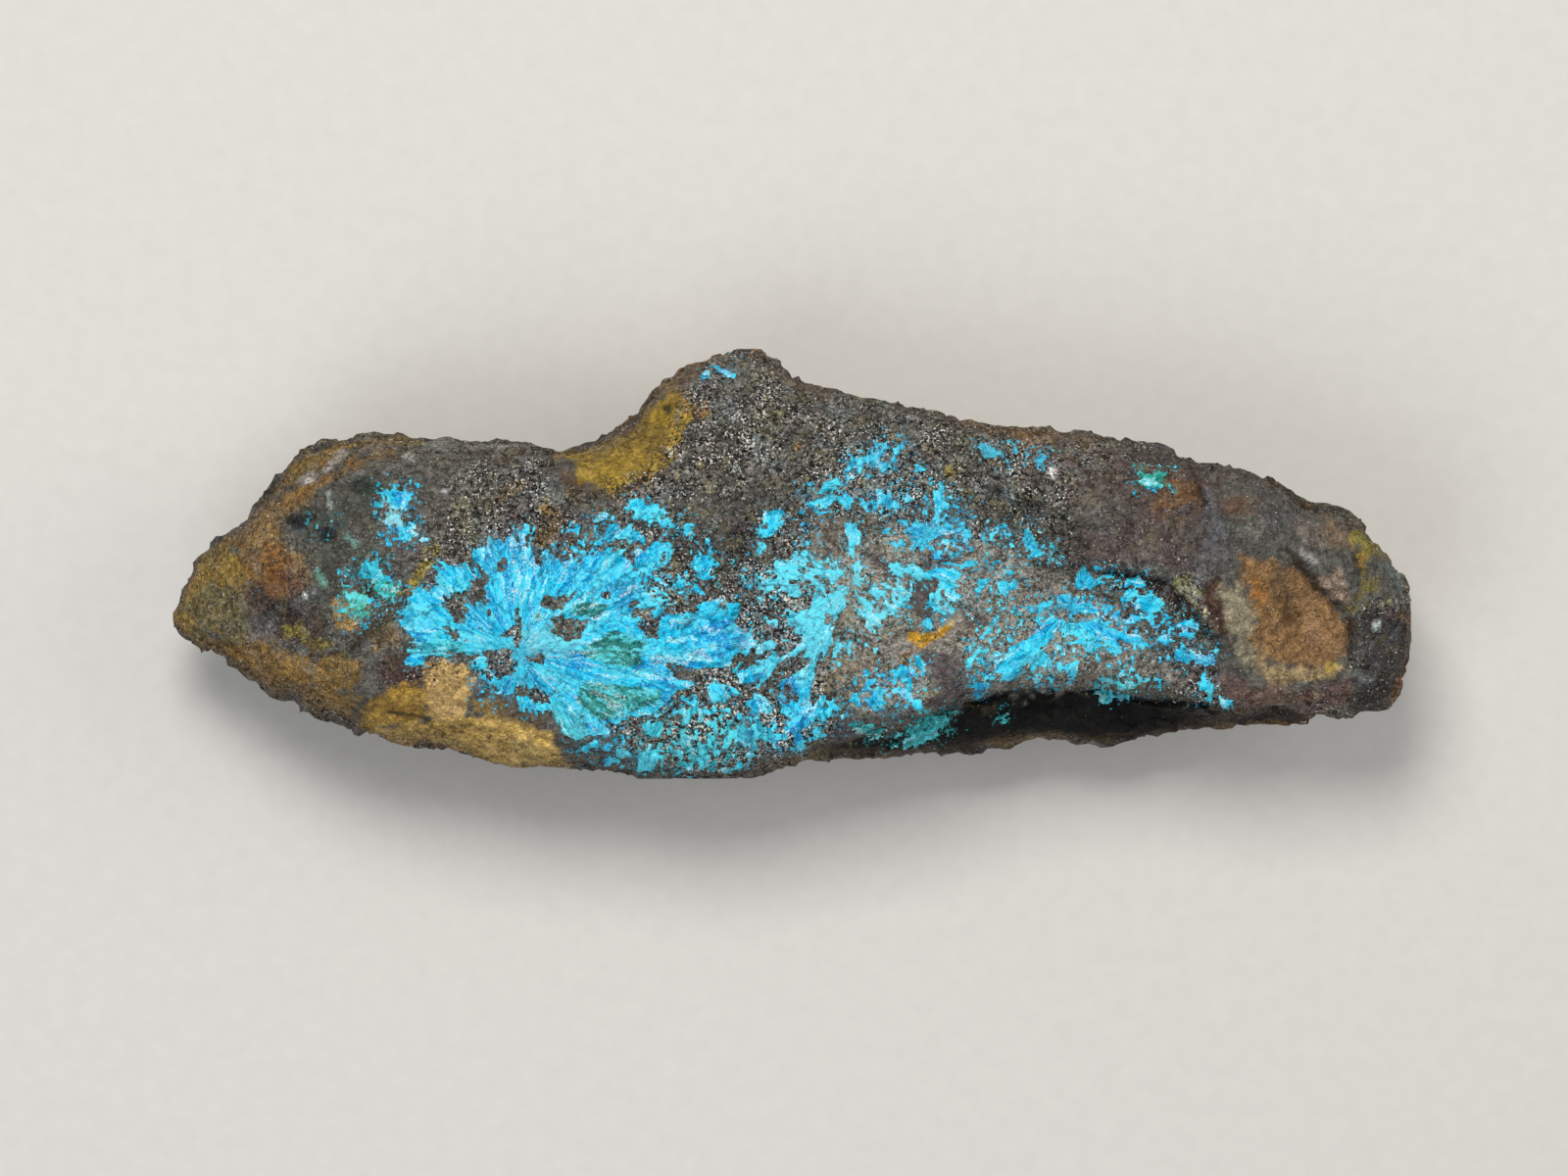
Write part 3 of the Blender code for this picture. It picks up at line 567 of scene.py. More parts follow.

# The rock's colours, with painted shade and painted light among the stains, the lowest first, each
# with its cover, its soft edge and, for a streak, its radius.
STAINS_AND_PAINTED_LIGHT = (
    # Painted shade: the shelf under the overhang and the groove along its edge, near black as in their own
    # shadow.
    *WHOLE.each(Stain, """
    835,762 870,748 930,738 985,712 1040,698 1120,698 1150,706 1226,710 1258,724 1296,714 1352,728 1345,765
    900,800 820,790 #070706 .97 .12;
    868,752 930,742 985,716 1040,702 1120,702 1150,710 1226,714 1258,728 1296,718 1352,731 #040404 .97 .06 .2
    """),
    *EAST_LOW.each(Stain, "200,690 290,682 300,730 230,742 #6A6248 .5 .3"),
    # The west end: ochre and brown iron stain on grey rock.
    *WEST_TIP.each(Stain, """
    290,835 400,700 500,640 700,600 640,700 545,745 520,830 640,960 600,1010 500,1050 380,900 #9C7C48 .85 .8;
    60,1110 160,980 200,880 270,830 350,880 400,1000 390,1100 250,1190 60,1190 #9E8038 .85 .6
    """),
    *WHOLE.each(Stain, """
    185,650 262,640 300,660 340,668 370,700 365,735 262,694 #9A7636 .8 .8;
    192,618 215,600 245,598 262,615 265,645 240,655 205,648 #6B6648 .75 .5;
    177,640 300,712 290,716 240,690 #7A5A30 .7 .5;
    252,560 300,580 312,600 290,612 262,600 #8C6436 .6 .5;
    256,602 285,594 312,600 345,650 325,662 290,652 262,632 #57463F .8 .6;
    258,640 285,630 296,634 285,645 262,650 #6C6A72 .6 .3;
    207,587 #D2AC58 .8 .35 .35
    """),
    *WEST_TIP.each(Stain, """
    446,660 560,530 760,437 1070,428 1030,462 900,452 770,490 700,560 600,585 470,672 #A5822F .92 .25;
    700,600 780,520 900,470 960,480 900,540 800,560 540,720 560,640 #9B7236 .75 .5;
    830,470 930,440 960,470 900,510 830,510 #8C7F72 .5 .4;
    615,600 655,580 #B9B4B0 .85 .18 .3;
    700,555 770,490 #BDB8B4 .85 .15 .26
    """),
    # The face of grey crystals, its dark pits and the stain beside the rosette.
    *WEST_TIP.each(Stain, """
    530,770 700,630 860,570 930,600 920,740 800,800 760,1040 660,1060 640,960 660,860 560,820 #51524B .75 .7;
    890,660 925,670 915,710 890,690 #22272C .8 .2;
    590,1020 650,1020 650,1060 600,1060 #232E30 .7 .25
    """),
    *WHOLE.each(Stain, """
    363,491 384,487 397,499 395,511 376,508 #1F3229 .7 .3;
    298,532 312,524 330,528 322,540 304,541 #1C232C .85 .2;
    328,540 348,536 352,551 336,558 #1C232C .8 .2
    """),
    *WEST_NOOK.each(Stain, "590,738 636,758 650,828 606,838 #251610 .92 .12"),
    # The last two streaks, from 424,613 and from 362,660, are painted shade under the step at the crack west
    # of the rosette.
    *WHOLE.each(Stain, """
    319,607 #F9FFF9 .9 .1 .17;
    341,506 345,521 #D6E5DE .6 .15 .1;
    363,549 371,556 #79B6A8 .8 .12 .2;
    331,583 341,596 #79B6A8 .8 .12 .2;
    278,556 296,560 304,584 300,612 280,606 #8A5C30 .75 .3;
    298,588 314,584 320,600 306,606 #6A4A40 .7 .25;
    278,612 300,608 318,620 316,642 278,632 #352E2B .8 .25;
    296,638 312,634 320,644 298,648 #8F823C .85 .2;
    316,652 350,650 350,658 330,660 #8C7D40 .85 .2;
    336,664 356,662 376,676 372,698 344,700 330,684 #9E7E42 .8 .3;
    388,640 402,630 414,634 414,652 404,662 390,660 #8F7F62 .8 .25;
    396,660 414,655 #C9BDA8 .85 .1 .08;
    402,664 424,656 440,666 438,694 416,700 402,684 #4C352E .85 .25;
    424,613 398,622 360,668 #221C1A .9 .12 .14;
    362,660 330,668 296,656 #2A2320 .85 .12 .1
    """),
    # The cream patch, the olive streak and the grey rock north of the rosette.
    *WEST_TIP.each(Stain, "730,1060 790,1075 862,1052 872,1080 815,1180 745,1180 #B7935A .95 .14"),
    *WHOLE.each(Stain, "384,640 408,640 410,658 388,660 #A98F5C .7 .3"),
    *WEST_TIP.each(Stain, "995,1035 1105,875 1160,858 1030,1050 #B09A36 .95 .3"),
    *WHOLE.each(Stain, """
    385,618 412,612 408,640 380,655 368,650 #57503F .7 .5;
    455,500 520,480 530,520 490,545 460,540 #6A6550 .35 1.2
    """),
    # The pale strip on the north edge, painted shade along the crack below it, the ochre seam and the peak.
    *WEST_HIGH.each(Stain, """
    118,135 200,105 480,120 600,152 200,174 140,170 #8F9590 .95 .1;
    -20,105 170,110 130,150 60,152 #8F7A34 .8 .3;
    100,182 540,174 #26221F .85 .08 .07;
    85,195 112,205 #DAD8D6 .9 .12 .16;
    240,330 #D0CCD0 .9 .15 .24;
    600,380 640,370 690,410 702,470 650,560 605,545 #8C6E34 .8 .3;
    460,330 500,290 545,300 540,340 500,370 450,360 #86693A .55 .4;
    700,250 880,320 1010,290 1000,360 850,370 720,330 #6E4E2A .5 .7;
    660,150 740,162 930,112 985,72 1002,20 1130,-62 1205,0 1170,130 1100,230 1050,280 980,290 880,352 835,300
    762,290 742,212 670,180 #A88A34 .95 .25;
    1000,60 1130,80 1110,180 1020,200 #6E5A34 .5 .5
    """),
    *WHOLE.each(Stain, "712,421 722,417 728,428 716,434 #9A7030 .85 .15"),
    *WEST_HIGH.each(Stain, "1110,10 #3A3024 .9 .12 .26"),
    *MID_HIGH.each(Stain, """
    538,84 580,78 606,124 #B5824A .9 .15;
    130,270 250,200 240,290 130,300 #A07A3A .7 .4
    """),
    # The sandy south edge, and its cracks darkened with painted shade.
    *WEST_LOW.each(Stain, """
    -10,345 165,470 150,545 60,520 -20,560 #4F3E3B .8 .4;
    -60,600 60,522 120,530 160,560 165,600 130,650 -60,720 -120,690 #C19942 .9 .25;
    165,440 240,425 332,470 352,512 300,690 200,690 165,640 #D0AC6D .92 .2;
    -60,700 400,640 500,660 650,720 730,870 350,870 300,800 -120,760 #E8C16B .93 .2;
    330,580 475,600 450,650 360,655 #AD883F .7 .3;
    350,720 560,740 640,830 500,850 360,800 #F2D082 .6 .4;
    430,600 600,650 630,700 440,660 #705E47 .7 .25;
    10,632 140,655 #3A2C1C .85 .1 .09;
    110,756 340,700 #4A3820 .8 .08 .06;
    350,815 490,812 #4A3820 .7 .08 .06;
    170,690 330,690 #5A4426 .7 .1 .06
    """),
    # The rock of the middle, with olive and rusty spots.
    *EAST_HIGH.each(Stain, """
    258,345 326,375 310,406 275,400 #8E8238 .85 .2;
    170,370 205,360 216,410 180,416 #6E4C28 .8 .25
    """),
    *MID_HIGH.each(Stain, """
    740,505 775,500 782,525 745,536 #9A6A2C .85 .2;
    550,320 700,330 760,440 620,460 560,400 #5F5C42 .6 .9;
    340,560 480,560 480,700 340,700 #5C5646 .5 .9;
    420,330 500,320 505,400 440,412 #7F888C .5 .5;
    530,500 620,510 605,600 540,585 #8A9296 .5 .5;
    420,720 560,690 600,860 545,1100 420,1150 380,900 #3A3634 .5 1;
    190,900 300,930 330,1080 505,1165 380,1172 200,1070 #43322C .6 .5
    """),
    # The brown north-east, its ridge with painted light above and painted shade below, its hollows, and
    # painted shadow under the step edge.
    *EAST_HIGH.each(Stain, """
    560,290 1200,280 1560,380 1560,800 1250,850 850,800 850,700 780,650 1100,560 #5B4B49 .7 1.2;
    430,150 760,190 780,230 700,262 600,250 #86664A .75 .5;
    830,210 960,215 1012,250 950,285 860,262 #846848 .7 .5;
    560,380 800,500 1042,515 1000,562 860,562 560,430 #7A6F66 .65 .7;
    480,400 860,580 810,640 640,620 520,560 430,470 #43423C .7 .9;
    1205,450 1300,420 1400,430 1424,500 1230,525 #7C5836 .65 .6;
    755,375 770,400 #D5D2D0 .9 .14 .2;
    1162,670 1172,750 #9C9890 .55 .3 .25;
    1440,600 1560,640 1560,860 1420,840 #6E6C6A .55 .8;
    990,815 1170,822 1300,865 1400,955 1520,1150 1240,915 #1C1916 .85 .35
    """),
    # Pale rock round the sprays.
    *WHOLE.each(Stain, """
    835,560 930,545 1010,560 1100,600 1200,690 1010,700 900,735 860,720 880,650 850,610 #B0A99D .6 .8;
    800,600 840,560 860,590 850,640 810,660 #A9A59C .5 .6
    """),
    # Plum-coloured hollows, and grey and beige rock between the films.
    *MID_LOW.each(Stain, """
    1070,120 1190,130 1192,200 1150,280 1060,250 #4E484C .85 .25;
    1120,410 1270,400 1300,430 1322,520 1290,590 1200,645 1155,600 1180,520 #5A5256 .85 .3;
    900,20 990,30 1060,120 1000,110 #554F54 .8 .25;
    800,660 960,650 1100,605 1112,650 770,765 #52545E .75 .4;
    1280,230 1380,240 1370,345 1290,335 #564A48 .75 .4
    """),
    *EAST_HIGH.each(Stain, "130,730 230,740 330,700 390,760 180,790 #5C555A .6 .5"),
    *MID_LOW.each(Stain, """
    500,290 600,290 650,340 640,390 560,400 500,370 #6A7380 .6 .6;
    430,60 560,30 560,100 480,140 470,260 440,240 #5C626C .6 .6;
    720,430 820,350 900,330 960,400 1040,430 1030,480 760,560 700,500 #948A7A .75 .6
    """),
    *WHOLE.each(Stain, "832,530 862,540 866,590 846,604 850,575 825,562 #8B8173 .6 .5"),
    *MID_LOW.each(Stain, "830,210 870,215 880,270 800,320 #A79B7D .75 .25"),
    *EAST_HIGH.each(Stain, "330,1050 700,1050 560,1130 560,1280 380,1300 330,1180 #9C9285 .6 .6"),
    *EAST_LOW.each(Stain, "430,500 560,500 740,560 700,620 430,590 #9C9588 .55 .4"),
    # The golden fleck.
    *MID_LOW.each(Stain, """
    1070,345 1082,325 1180,325 1278,264 1215,340 1120,386 #DDA632 .98 .06;
    1090,392 1046,438 #B07937 .85 .15 .2;
    1130,540 1200,560 1130,575 #C0B070 .6 .25
    """),
    # Rust and grey over the bowl, then the bowl, its lower rim pale partly in its own colour and partly
    # with painted light, and painted shade in the crease beside it.
    *EAST_TIP.each(Stain, """
    100,290 220,250 340,290 370,360 300,400 140,400 #7E5B3A .55 .8;
    450,330 560,300 622,380 600,470 520,462 440,400 #7A5236 .6 .8;
    380,340 520,600 420,720 300,700 380,450 #6B6C70 .5 .6;
    620,280 760,300 860,380 820,470 700,580 #59575A .55 .9;
    600,505 650,520 #A8A49C .6 .35 .35;
    330,840 430,760 525,1160 #55382F .9 .35;
    440,820 540,780 642,930 615,1060 642,1150 600,1200 530,1175 #A89E83 .9 .4;
    540,660 700,640 930,760 1125,990 1100,1150 1000,1230 700,1170 615,1100 645,980 #99744A .88 .5;
    600,770 660,770 682,840 640,885 #B47D3F .8 .4;
    700,700 800,700 790,840 730,860 #635138 .6 .6;
    620,1110 700,1190 1000,1205 1080,1165 1092,1212 860,1290 720,1292 650,1240 #B39B71 .85 .3;
    970,1190 1040,1168 1072,1200 980,1220 #C3A853 .8 .3;
    420,1230 860,1310 1100,1270 1120,1380 1000,1440 880,1380 580,1450 470,1380 #725751 .8 .5;
    850,690 1080,900 1130,1000 1120,1180 #3C2E26 .75 .35 .3
    """),
    # The east end.
    *EAST_TIP.each(Stain, """
    970,430 1080,450 1090,600 1000,570 #8C7258 .7 .5;
    850,480 940,500 960,600 860,600 #8E8078 .6 .5;
    850,620 920,640 945,722 #BDBBB6 .85 .25;
    950,760 1060,735 1135,820 1110,890 1000,830 #B09A8C .85 .3;
    1080,430 1190,445 1200,500 1110,520 #5A4A35 .7 .5;
    1120,545 1200,515 1292,640 1185,640 #A39547 .88 .35;
    1135,630 1200,640 1185,700 1150,690 #B18C3A .8 .3;
    1150,760 1260,720 1285,760 1120,945 #8F8240 .75 .5;
    1300,700 1350,680 1402,760 1380,792 #7DA0A6 .75 .3;
    1390,865 1440,818 1452,850 1400,892 #A9BDB8 .8 .2;
    1270,880 1330,860 1325,900 1285,905 #A09C74 .7 .3;
    1150,930 1330,910 1450,960 1420,1250 1250,1440 1120,1430 1180,1100 #343032 .88 .5;
    1360,940 1460,950 1450,1005 1380,985 #8C6038 .6 .4;
    1335,1330 1422,1180 1440,1240 1405,1370 1320,1425 #B8701E .9 .3;
    1240,1000 #CFE3DE .9 .14 .2
    """),
    # Creases at the east end darkened with painted shade, a blue-grey band and spots.
    *WHOLE.each(Stain, """
    1210,480 1234,548 #2A2320 .8 .12 .09;
    1227,508 1234,536 1217,592 #6F727A .6 .25 .22;
    1306,562 1366,626 1372,652 #33251C .8 .14 .13;
    1372,566 1379,590 1374,612 #2C2824 .75 .12 .1;
    1338,590 1354,584 1370,598 1368,612 1350,612 #A08A78 .75 .3;
    1396,573 #6F6F66 .8 .2 .45;
    1412,584 1424,600 #8AA0A4 .6 .3 .25;
    1296,612 1306,600 1318,622 1310,640 1298,634 #5A3E28 .6 .25;
    1322,632 1336,628 1346,648 1334,662 1320,652 #B08A68 .7 .25;
    1266,700 1290,690 1312,700 1296,712 1272,712 #8A7264 .7 .3
    """),
    *EAST_TIP.each(Stain, """
    230,785 368,940 #CCC4A0 .95 .1 .17;
    250,810 300,850 #E5E2C0 .9 .12 .24;
    240,765 335,835 #8E8B49 .7 .3 .25
    """),
)

# Colour that belongs to the film: deep where the laths are long, pale and greenish where it thins, and
# one painted highlight.
FILM_TINTS_AND_GLINT = (
    *WEST_HIGH.each(Stain, """
    345,545 560,465 600,560 560,645 420,650 350,610 #0E9BD6 .65 .5;
    610,595 950,735 #109FDA .6 .5 .8;
    862,490 940,480 1022,530 #129BD2 .5 .4 .6;
    890,710 985,730 1000,820 905,835 #0E97D2 .5 .4;
    300,770 400,770 400,850 310,850 #1199D0 .45 .5;
    525,880 640,866 762,890 745,955 560,965 #8DE6F2 .65 .4;
    60,760 190,760 200,880 70,880 #5FD4EE .45 .5
    """),
    *WEST_LOW.each(Stain, """
    60,370 300,375 300,430 60,430 #5FC7BA .55 .4;
    640,655 800,655 800,745 650,750 #62C9B5 .5 .5
    """),
    *MID_LOW.each(Stain, "0,640 240,640 520,680 520,830 240,900 0,900 #58C2BC .5 .6"),
    *WEST_LOW.each(Stain, """
    690,255 760,210 880,225 830,275 #2F7D6C .9 .12;
    696,254 716,242 724,254 712,262 #22C8E8 .9 .1;
    740,410 900,320 1030,375 1000,420 1010,465 920,475 #348470 .9 .12;
    745,560 790,530 1080,560 1075,620 830,690 745,610 #3A8A74 .88 .12;
    800,425 960,380 1000,400 #4FB09A .6 .15 .12;
    800,600 1050,590 #4FB09A .6 .15 .14;
    592,270 #A8DCD8 .95 .06 .28;
    592,270 #7A5A34 .9 .05 .07;
    805,410 #A8DCD8 .95 .06 .28;
    1285,388 #A8DCD8 .95 .06 .22;
    770,375 #9ADFE6 .8 .12 .2
    """),
    *WHOLE.each(Stain, """
    770,560 862,540 930,560 940,640 860,700 760,690 #74E6FA .85 .8;
    868,597 #8DE8F4 .6 .5 .9;
    892,590 915,600 912,622 890,630 #8DE8F4 .5 .5 .4;
    850,440 1080,430 1100,540 960,560 860,540 #4AB2D8 .5 .8;
    1095,581 1116,584 1114,603 1097,600 #0FA0DA .4 .25;
    1076,605 1100,608 1098,628 1078,626 #0FA0DA .4 .25;
    1217,666 1242,664 1242,682 1218,682 #4F8FD0 .85 .3;
    915,722 1035,722 1035,770 865,770 865,735 #3FA79B .8 .4;
    1110,686 1160,686 1160,720 1110,720 #48A8A6 .7 .4
    """),
    # The near-white dot at 515,782 is a painted highlight.
    *WEST_NOOK.each(Stain, """
    480,600 710,600 710,745 480,760 #25AEC2 .85 .3;
    612,742 790,735 790,845 600,845 #35AF9C .9 .2;
    430,760 590,780 600,950 430,950 #62BD9E .9 .3;
    515,782 #E4F4EE .9 .12 .12;
    670,300 800,300 800,388 670,388 #B5E2E2 .8 .2;
    702,276 #F2F8F6 .95 .12 .18
    """),
    *WHOLE.each(Stain, """
    285,470 380,470 384,560 300,590 285,580 #3E7C72 .85 .4;
    1155,475 1195,475 1195,502 1155,502 #3AA893 .95 .4
    """),
)

# Where the quartz druse, with its painted glints, is strongest and weakest: its strength and its soft rim.
DRUSE_ZONES = (
    # The zone from 835,762 along the shelf under the overhang is nearly bare, which keeps painted glints and
    # mottles off its painted shade.
    *WHOLE.each(Zone, """
    150,600 240,450 420,435 480,500 430,560 440,640 380,720 180,700 .3 1.6;
    820,550 1000,540 1130,590 1220,640 1200,700 1000,705 880,745 840,700 .42 .8;
    555,482 640,425 665,395 690,388 705,400 706,425 640,490 600,502 565,498 .15 .5;
    700,390 790,390 800,470 740,500 690,470 1 1.2;
    690,560 745,560 810,590 810,650 740,660 690,640 .95 1.2;
    690,705 830,690 830,800 700,800 1 1.2;
    1090,470 1240,470 1330,500 1330,590 1240,600 1090,570 .3 1.5;
    1200,470 1300,480 1410,540 1430,610 1390,625 1370,700 1250,725 .15 .8;
    1371,622 1429,640 1425,723 1375,715 .35 .6;
    835,762 1040,698 1345,725 1300,760 850,780 .05 .3;
    840,440 1000,420 1000,500 850,520 .8 1.5
    """),
    *MID_LOW.each(Zone, """
    1070,120 1190,130 1192,200 1150,280 1060,250 .12 .3;
    1120,410 1270,400 1300,430 1322,520 1290,590 1200,645 1155,600 1180,520 .12 .3;
    900,20 990,30 1060,120 1000,110 .12 .3;
    800,660 960,650 1100,605 1112,650 770,765 .15 .4
    """),
    *WEST_TIP.each(Zone, """
    530,770 700,630 860,570 930,600 920,740 800,800 760,1040 660,1060 640,960 660,860 560,820 .15 .5
    """),
    *WHOLE.each(Zone, """
    340,700 480,690 560,720 590,780 500,790 370,770 .1 .6;
    570,410 640,400 720,345 700,390 660,420 620,500 575,500 .1 .5;
    1257,590 1340,590 1375,640 1370,690 1280,700 1262,640 .15 .6
    """),
    *MID_LOW.each(Zone, "1060,400 1075,320 1180,318 1250,258 1290,262 1245,325 .05 .12"),
)

# Cracks, furrows and pits, and ribs where the depth is below 0: depth and half width.
GROOVES = (
    *WHOLE.each(Groove, """
    900,747 930,743 960,727 985,717 1010,712 1040,703 1070,705 1120,703 1150,711 1190,715 1226,715 1258,729
    1296,719 1325,728 .45 .16;
    1095,580 1151,585 1186,591 1212,611 1222,635 1245,664 .5 .2;
    414,615 367,656 345,668 300,665 .35 .3;
    225,655 262,672 290,700 300,715 .3 .25
    """),
    *WEST_LOW.each(Groove, """
    10,632 70,626 140,655 .3 .12;
    110,756 160,742 250,712 340,700 .25 .1;
    350,815 440,820 490,812 .2 .1;
    170,690 260,705 330,690 .25 .12
    """),
    *WHOLE.each(Groove, """
    745,560 763,600 766,660 770,700 .6 .9;
    1341,599 1371,624 1379,650 1377,670 .5 .25;
    1325,518 1343,543 .35 .12;
    1000,500 1045,530 1090,560 .45 1.1;
    1010,492 1060,508 1120,520 -.3 .6;
    1001,597 .6 .16;
    1067,638 .4 .18;
    683,422 .4 .14
    """),
    *WEST_HIGH.each(Groove, """
    100,182 250,180 400,180 540,174 .2 .1;
    140,150 330,140 540,155 -.2 .25
    """),
    *WHOLE.each(Groove, """
    1216,600 1232,630 1246,664 -.3 .45;
    1248,600 1258,640 1270,676 -.25 .4;
    1210,480 1221,503 1226,528 1234,548 .3 .16;
    1306,562 1324,582 1341,599 .3 .16;
    1372,566 1379,590 1374,612 .3 .15;
    1254,513 -.35 .6;
    1354,598 -.3 .45;
    1340,553 -.3 .5;
    1396,573 -.3 .35;
    1272,557 -.25 .5;
    1398,690 -.3 .5;
    1300,706 -.3 .5;
    1342,706 -.3 .5
    """),
)

# Broken edges of the face: rise and fade.
LEDGES = (
    *WHOLE.each(Ledge, """
    1095,580 1151,585 1186,591 1212,611 1222,635 1245,664 .6 2.2;
    800,776 850,755 900,742 960,722 1010,707 1040,698 1120,698 1190,710 1226,710 1258,724 1296,714 1325,723
    1352,728 .5 1.6;
    1000,498 1040,512 1090,524 1130,545 .35 1.8;
    1222,478 1228,520 1232,560 1250,600 .35 1.6;
    1335,560 1341,599 1371,624 1379,650 1377,680 .5 1.2;
    345,735 380,745 440,760 490,772 .35 1.2;
    300,700 262,672 225,655 190,648 .4 1.4;
    414,615 367,656 345,668 300,665 .3 1.4;
    575,500 640,505 690,470 720,420 .35 1.5;
    700,395 730,440 745,500 752,560 .3 2
    """),
)


def linear(code: str) -> Array:
    """Turns an sRGB hex code to linear red, green and blue.

    Args:
        code: A code such as "#2FC4EC".

    Returns:
        Three linear values from 0 to 1.
    """
    srgb = np.array([int(code[i:i + 2], 16) for i in (1, 3, 5)]) / 255
    return np.where(srgb <= 0.04045, srgb / 12.92, ((srgb + 0.055) / 1.055) ** 2.4)


def rgba(code: str) -> tuple[float, ...]:
    """Returns the linear colour of a hex code with full alpha, for a socket."""
    return (*linear(code).tolist(), 1.0)


def soft(value: Array, low: float, high: float) -> Array:
    """Rises smoothly from 0 at low to 1 at high."""
    part = np.clip((value - low) / (high - low), 0.0, 1.0)
    return part * part * (3 - 2 * part)


def noise(coords: Array, size: float, seed: int, octaves: int = 1) -> Array:
    """Smooth random values between about -1 and 1.

    Args:
        coords: Points as rows, in mm, in two or three dimensions.
        size: The width of one bump in mm.
        seed: Which random values are used.
        octaves: How many finer layers are added, each half as wide and half as strong.

    Returns:
        One value for each point.
    """
    total = np.zeros(len(coords))
    for octave in range(octaves):
        table = np.random.default_rng(seed + octave).uniform(-1.0, 1.0, NOISE_TABLE)
        scaled = coords * (2 ** octave / size)
        cell = np.floor(scaled).astype(np.int64)
        part = scaled - cell
        part = part * part * (3 - 2 * part)
        for corner in product((0, 1), repeat=coords.shape[1]):
            step = np.array(corner)
            key = (cell + step) @ NOISE_STRIDES[:coords.shape[1]]
            weight = np.prod(np.where(step, part, 1 - part), axis=1)
            total += weight * table[key % NOISE_TABLE] / 2 ** octave
    return total


def cells(coords: Array, size: float, seed: int) -> tuple[Array, Array, Array]:
    """Irregular angular cells, such as flakes, grains and the facets of broken rock.

    Args:
        coords: Points as rows, in two or three dimensions.
        size: The width of one cell, in the units of coords.
        seed: Which random cells are used.

    Returns:
        For each point, its cell's own random value from 0 to 1, its distance to the cell's border in
        cell widths, and how far it is along the cell's own random slope, from about -1 to 1.
    """
    axes = coords.shape[1]
    chance = np.random.default_rng(seed)
    lots = chance.uniform(0.0, 1.0, NOISE_TABLE)
    shifts, leans = chance.uniform(-1.0, 1.0, (2, NOISE_TABLE, axes))
    scaled = coords / size
    home = np.floor(scaled).astype(np.int64)
    nearest, second = np.full((2, len(coords)), FAR)
    lot, slope = np.zeros((2, len(coords)))
    for corner in product((-1, 0, 1), repeat=axes):
        cell = home + np.array(corner)
        key = (cell @ NOISE_STRIDES[:axes]) % NOISE_TABLE
        offset = scaled - cell - 0.5 - CELL_STRAY * shifts[key]
        away = np.sqrt(np.einsum("ij,ij->i", offset, offset))
        closer = away < nearest
        second = np.where(closer, nearest, np.minimum(second, away))
        nearest = np.where(closer, away, nearest)
        lot = np.where(closer, lots[key], lot)
        slope = np.where(closer, np.einsum("ij,ij->i", offset, leans[key]), slope)
    return lot, (second - nearest) / 2, slope


def line_distance(path: Sequence[Point], x: Array, y: Array) -> Array:
    """Measures how far points are from a line.

    Args:
        path: The line's own points, or one point alone.
        x: Where along the length each point is, in mm.
        y: Where across it.

    Returns:
        The distance of each point in mm.
    """
    ends = list(zip(path, path[1:])) or [(path[0], path[0])]
    nearest = np.full(x.shape, FAR * FAR)
    for (ax, ay), (bx, by) in ends:
        dx, dy = bx - ax, by - ay
        along = ((x - ax) * dx + (y - ay) * dy) / max(dx * dx + dy * dy, 1e-9)
        along = np.clip(along, 0.0, 1.0)
        nearest = np.minimum(nearest, (x - ax - along * dx) ** 2 + (y - ay - along * dy) ** 2)
    return np.sqrt(nearest)


def side_distance(path: Sequence[Point], x: Array, y: Array) -> Array:
    """Measures how far points are from a line, and on which side of it.

    Args:
        path: The line's own points.
        x: Where along the length each point is, in mm.
        y: Where across it.

    Returns:
        The distance of each point in mm, below 0 on the line's right as one goes along it.
    """
    nearest, signed = np.full((2, *x.shape), FAR)
    for (ax, ay), (bx, by) in zip(path, path[1:]):
        away = line_distance(((ax, ay), (bx, by)), x, y)
        left = (bx - ax) * (y - ay) > (by - ay) * (x - ax)
        signed = np.where(away < nearest, np.where(left, away, -away), signed)
        nearest = np.minimum(nearest, away)
    return signed


def area_depth(outline: Points, x: Array, y: Array) -> Array:
    """Measures how far inside an outline points are.

    Args:
        outline: The corners, the last of which is joined to the first.
        x: Where along the length each point is, in mm.
        y: Where across it.

    Returns:
        The distance of each point to the outline in mm, below 0 outside it.
    """
    inside = np.zeros(x.shape, bool)
    for (ax, ay), (bx, by) in zip(outline, outline[1:] + outline[:1]):
        if ay != by:
            inside ^= ((ay > y) != (by > y)) & (x < (bx - ax) * (y - ay) / (by - ay) + ax)
    return np.where(inside, 1.0, -1.0) * line_distance((*outline, outline[0]), x, y)


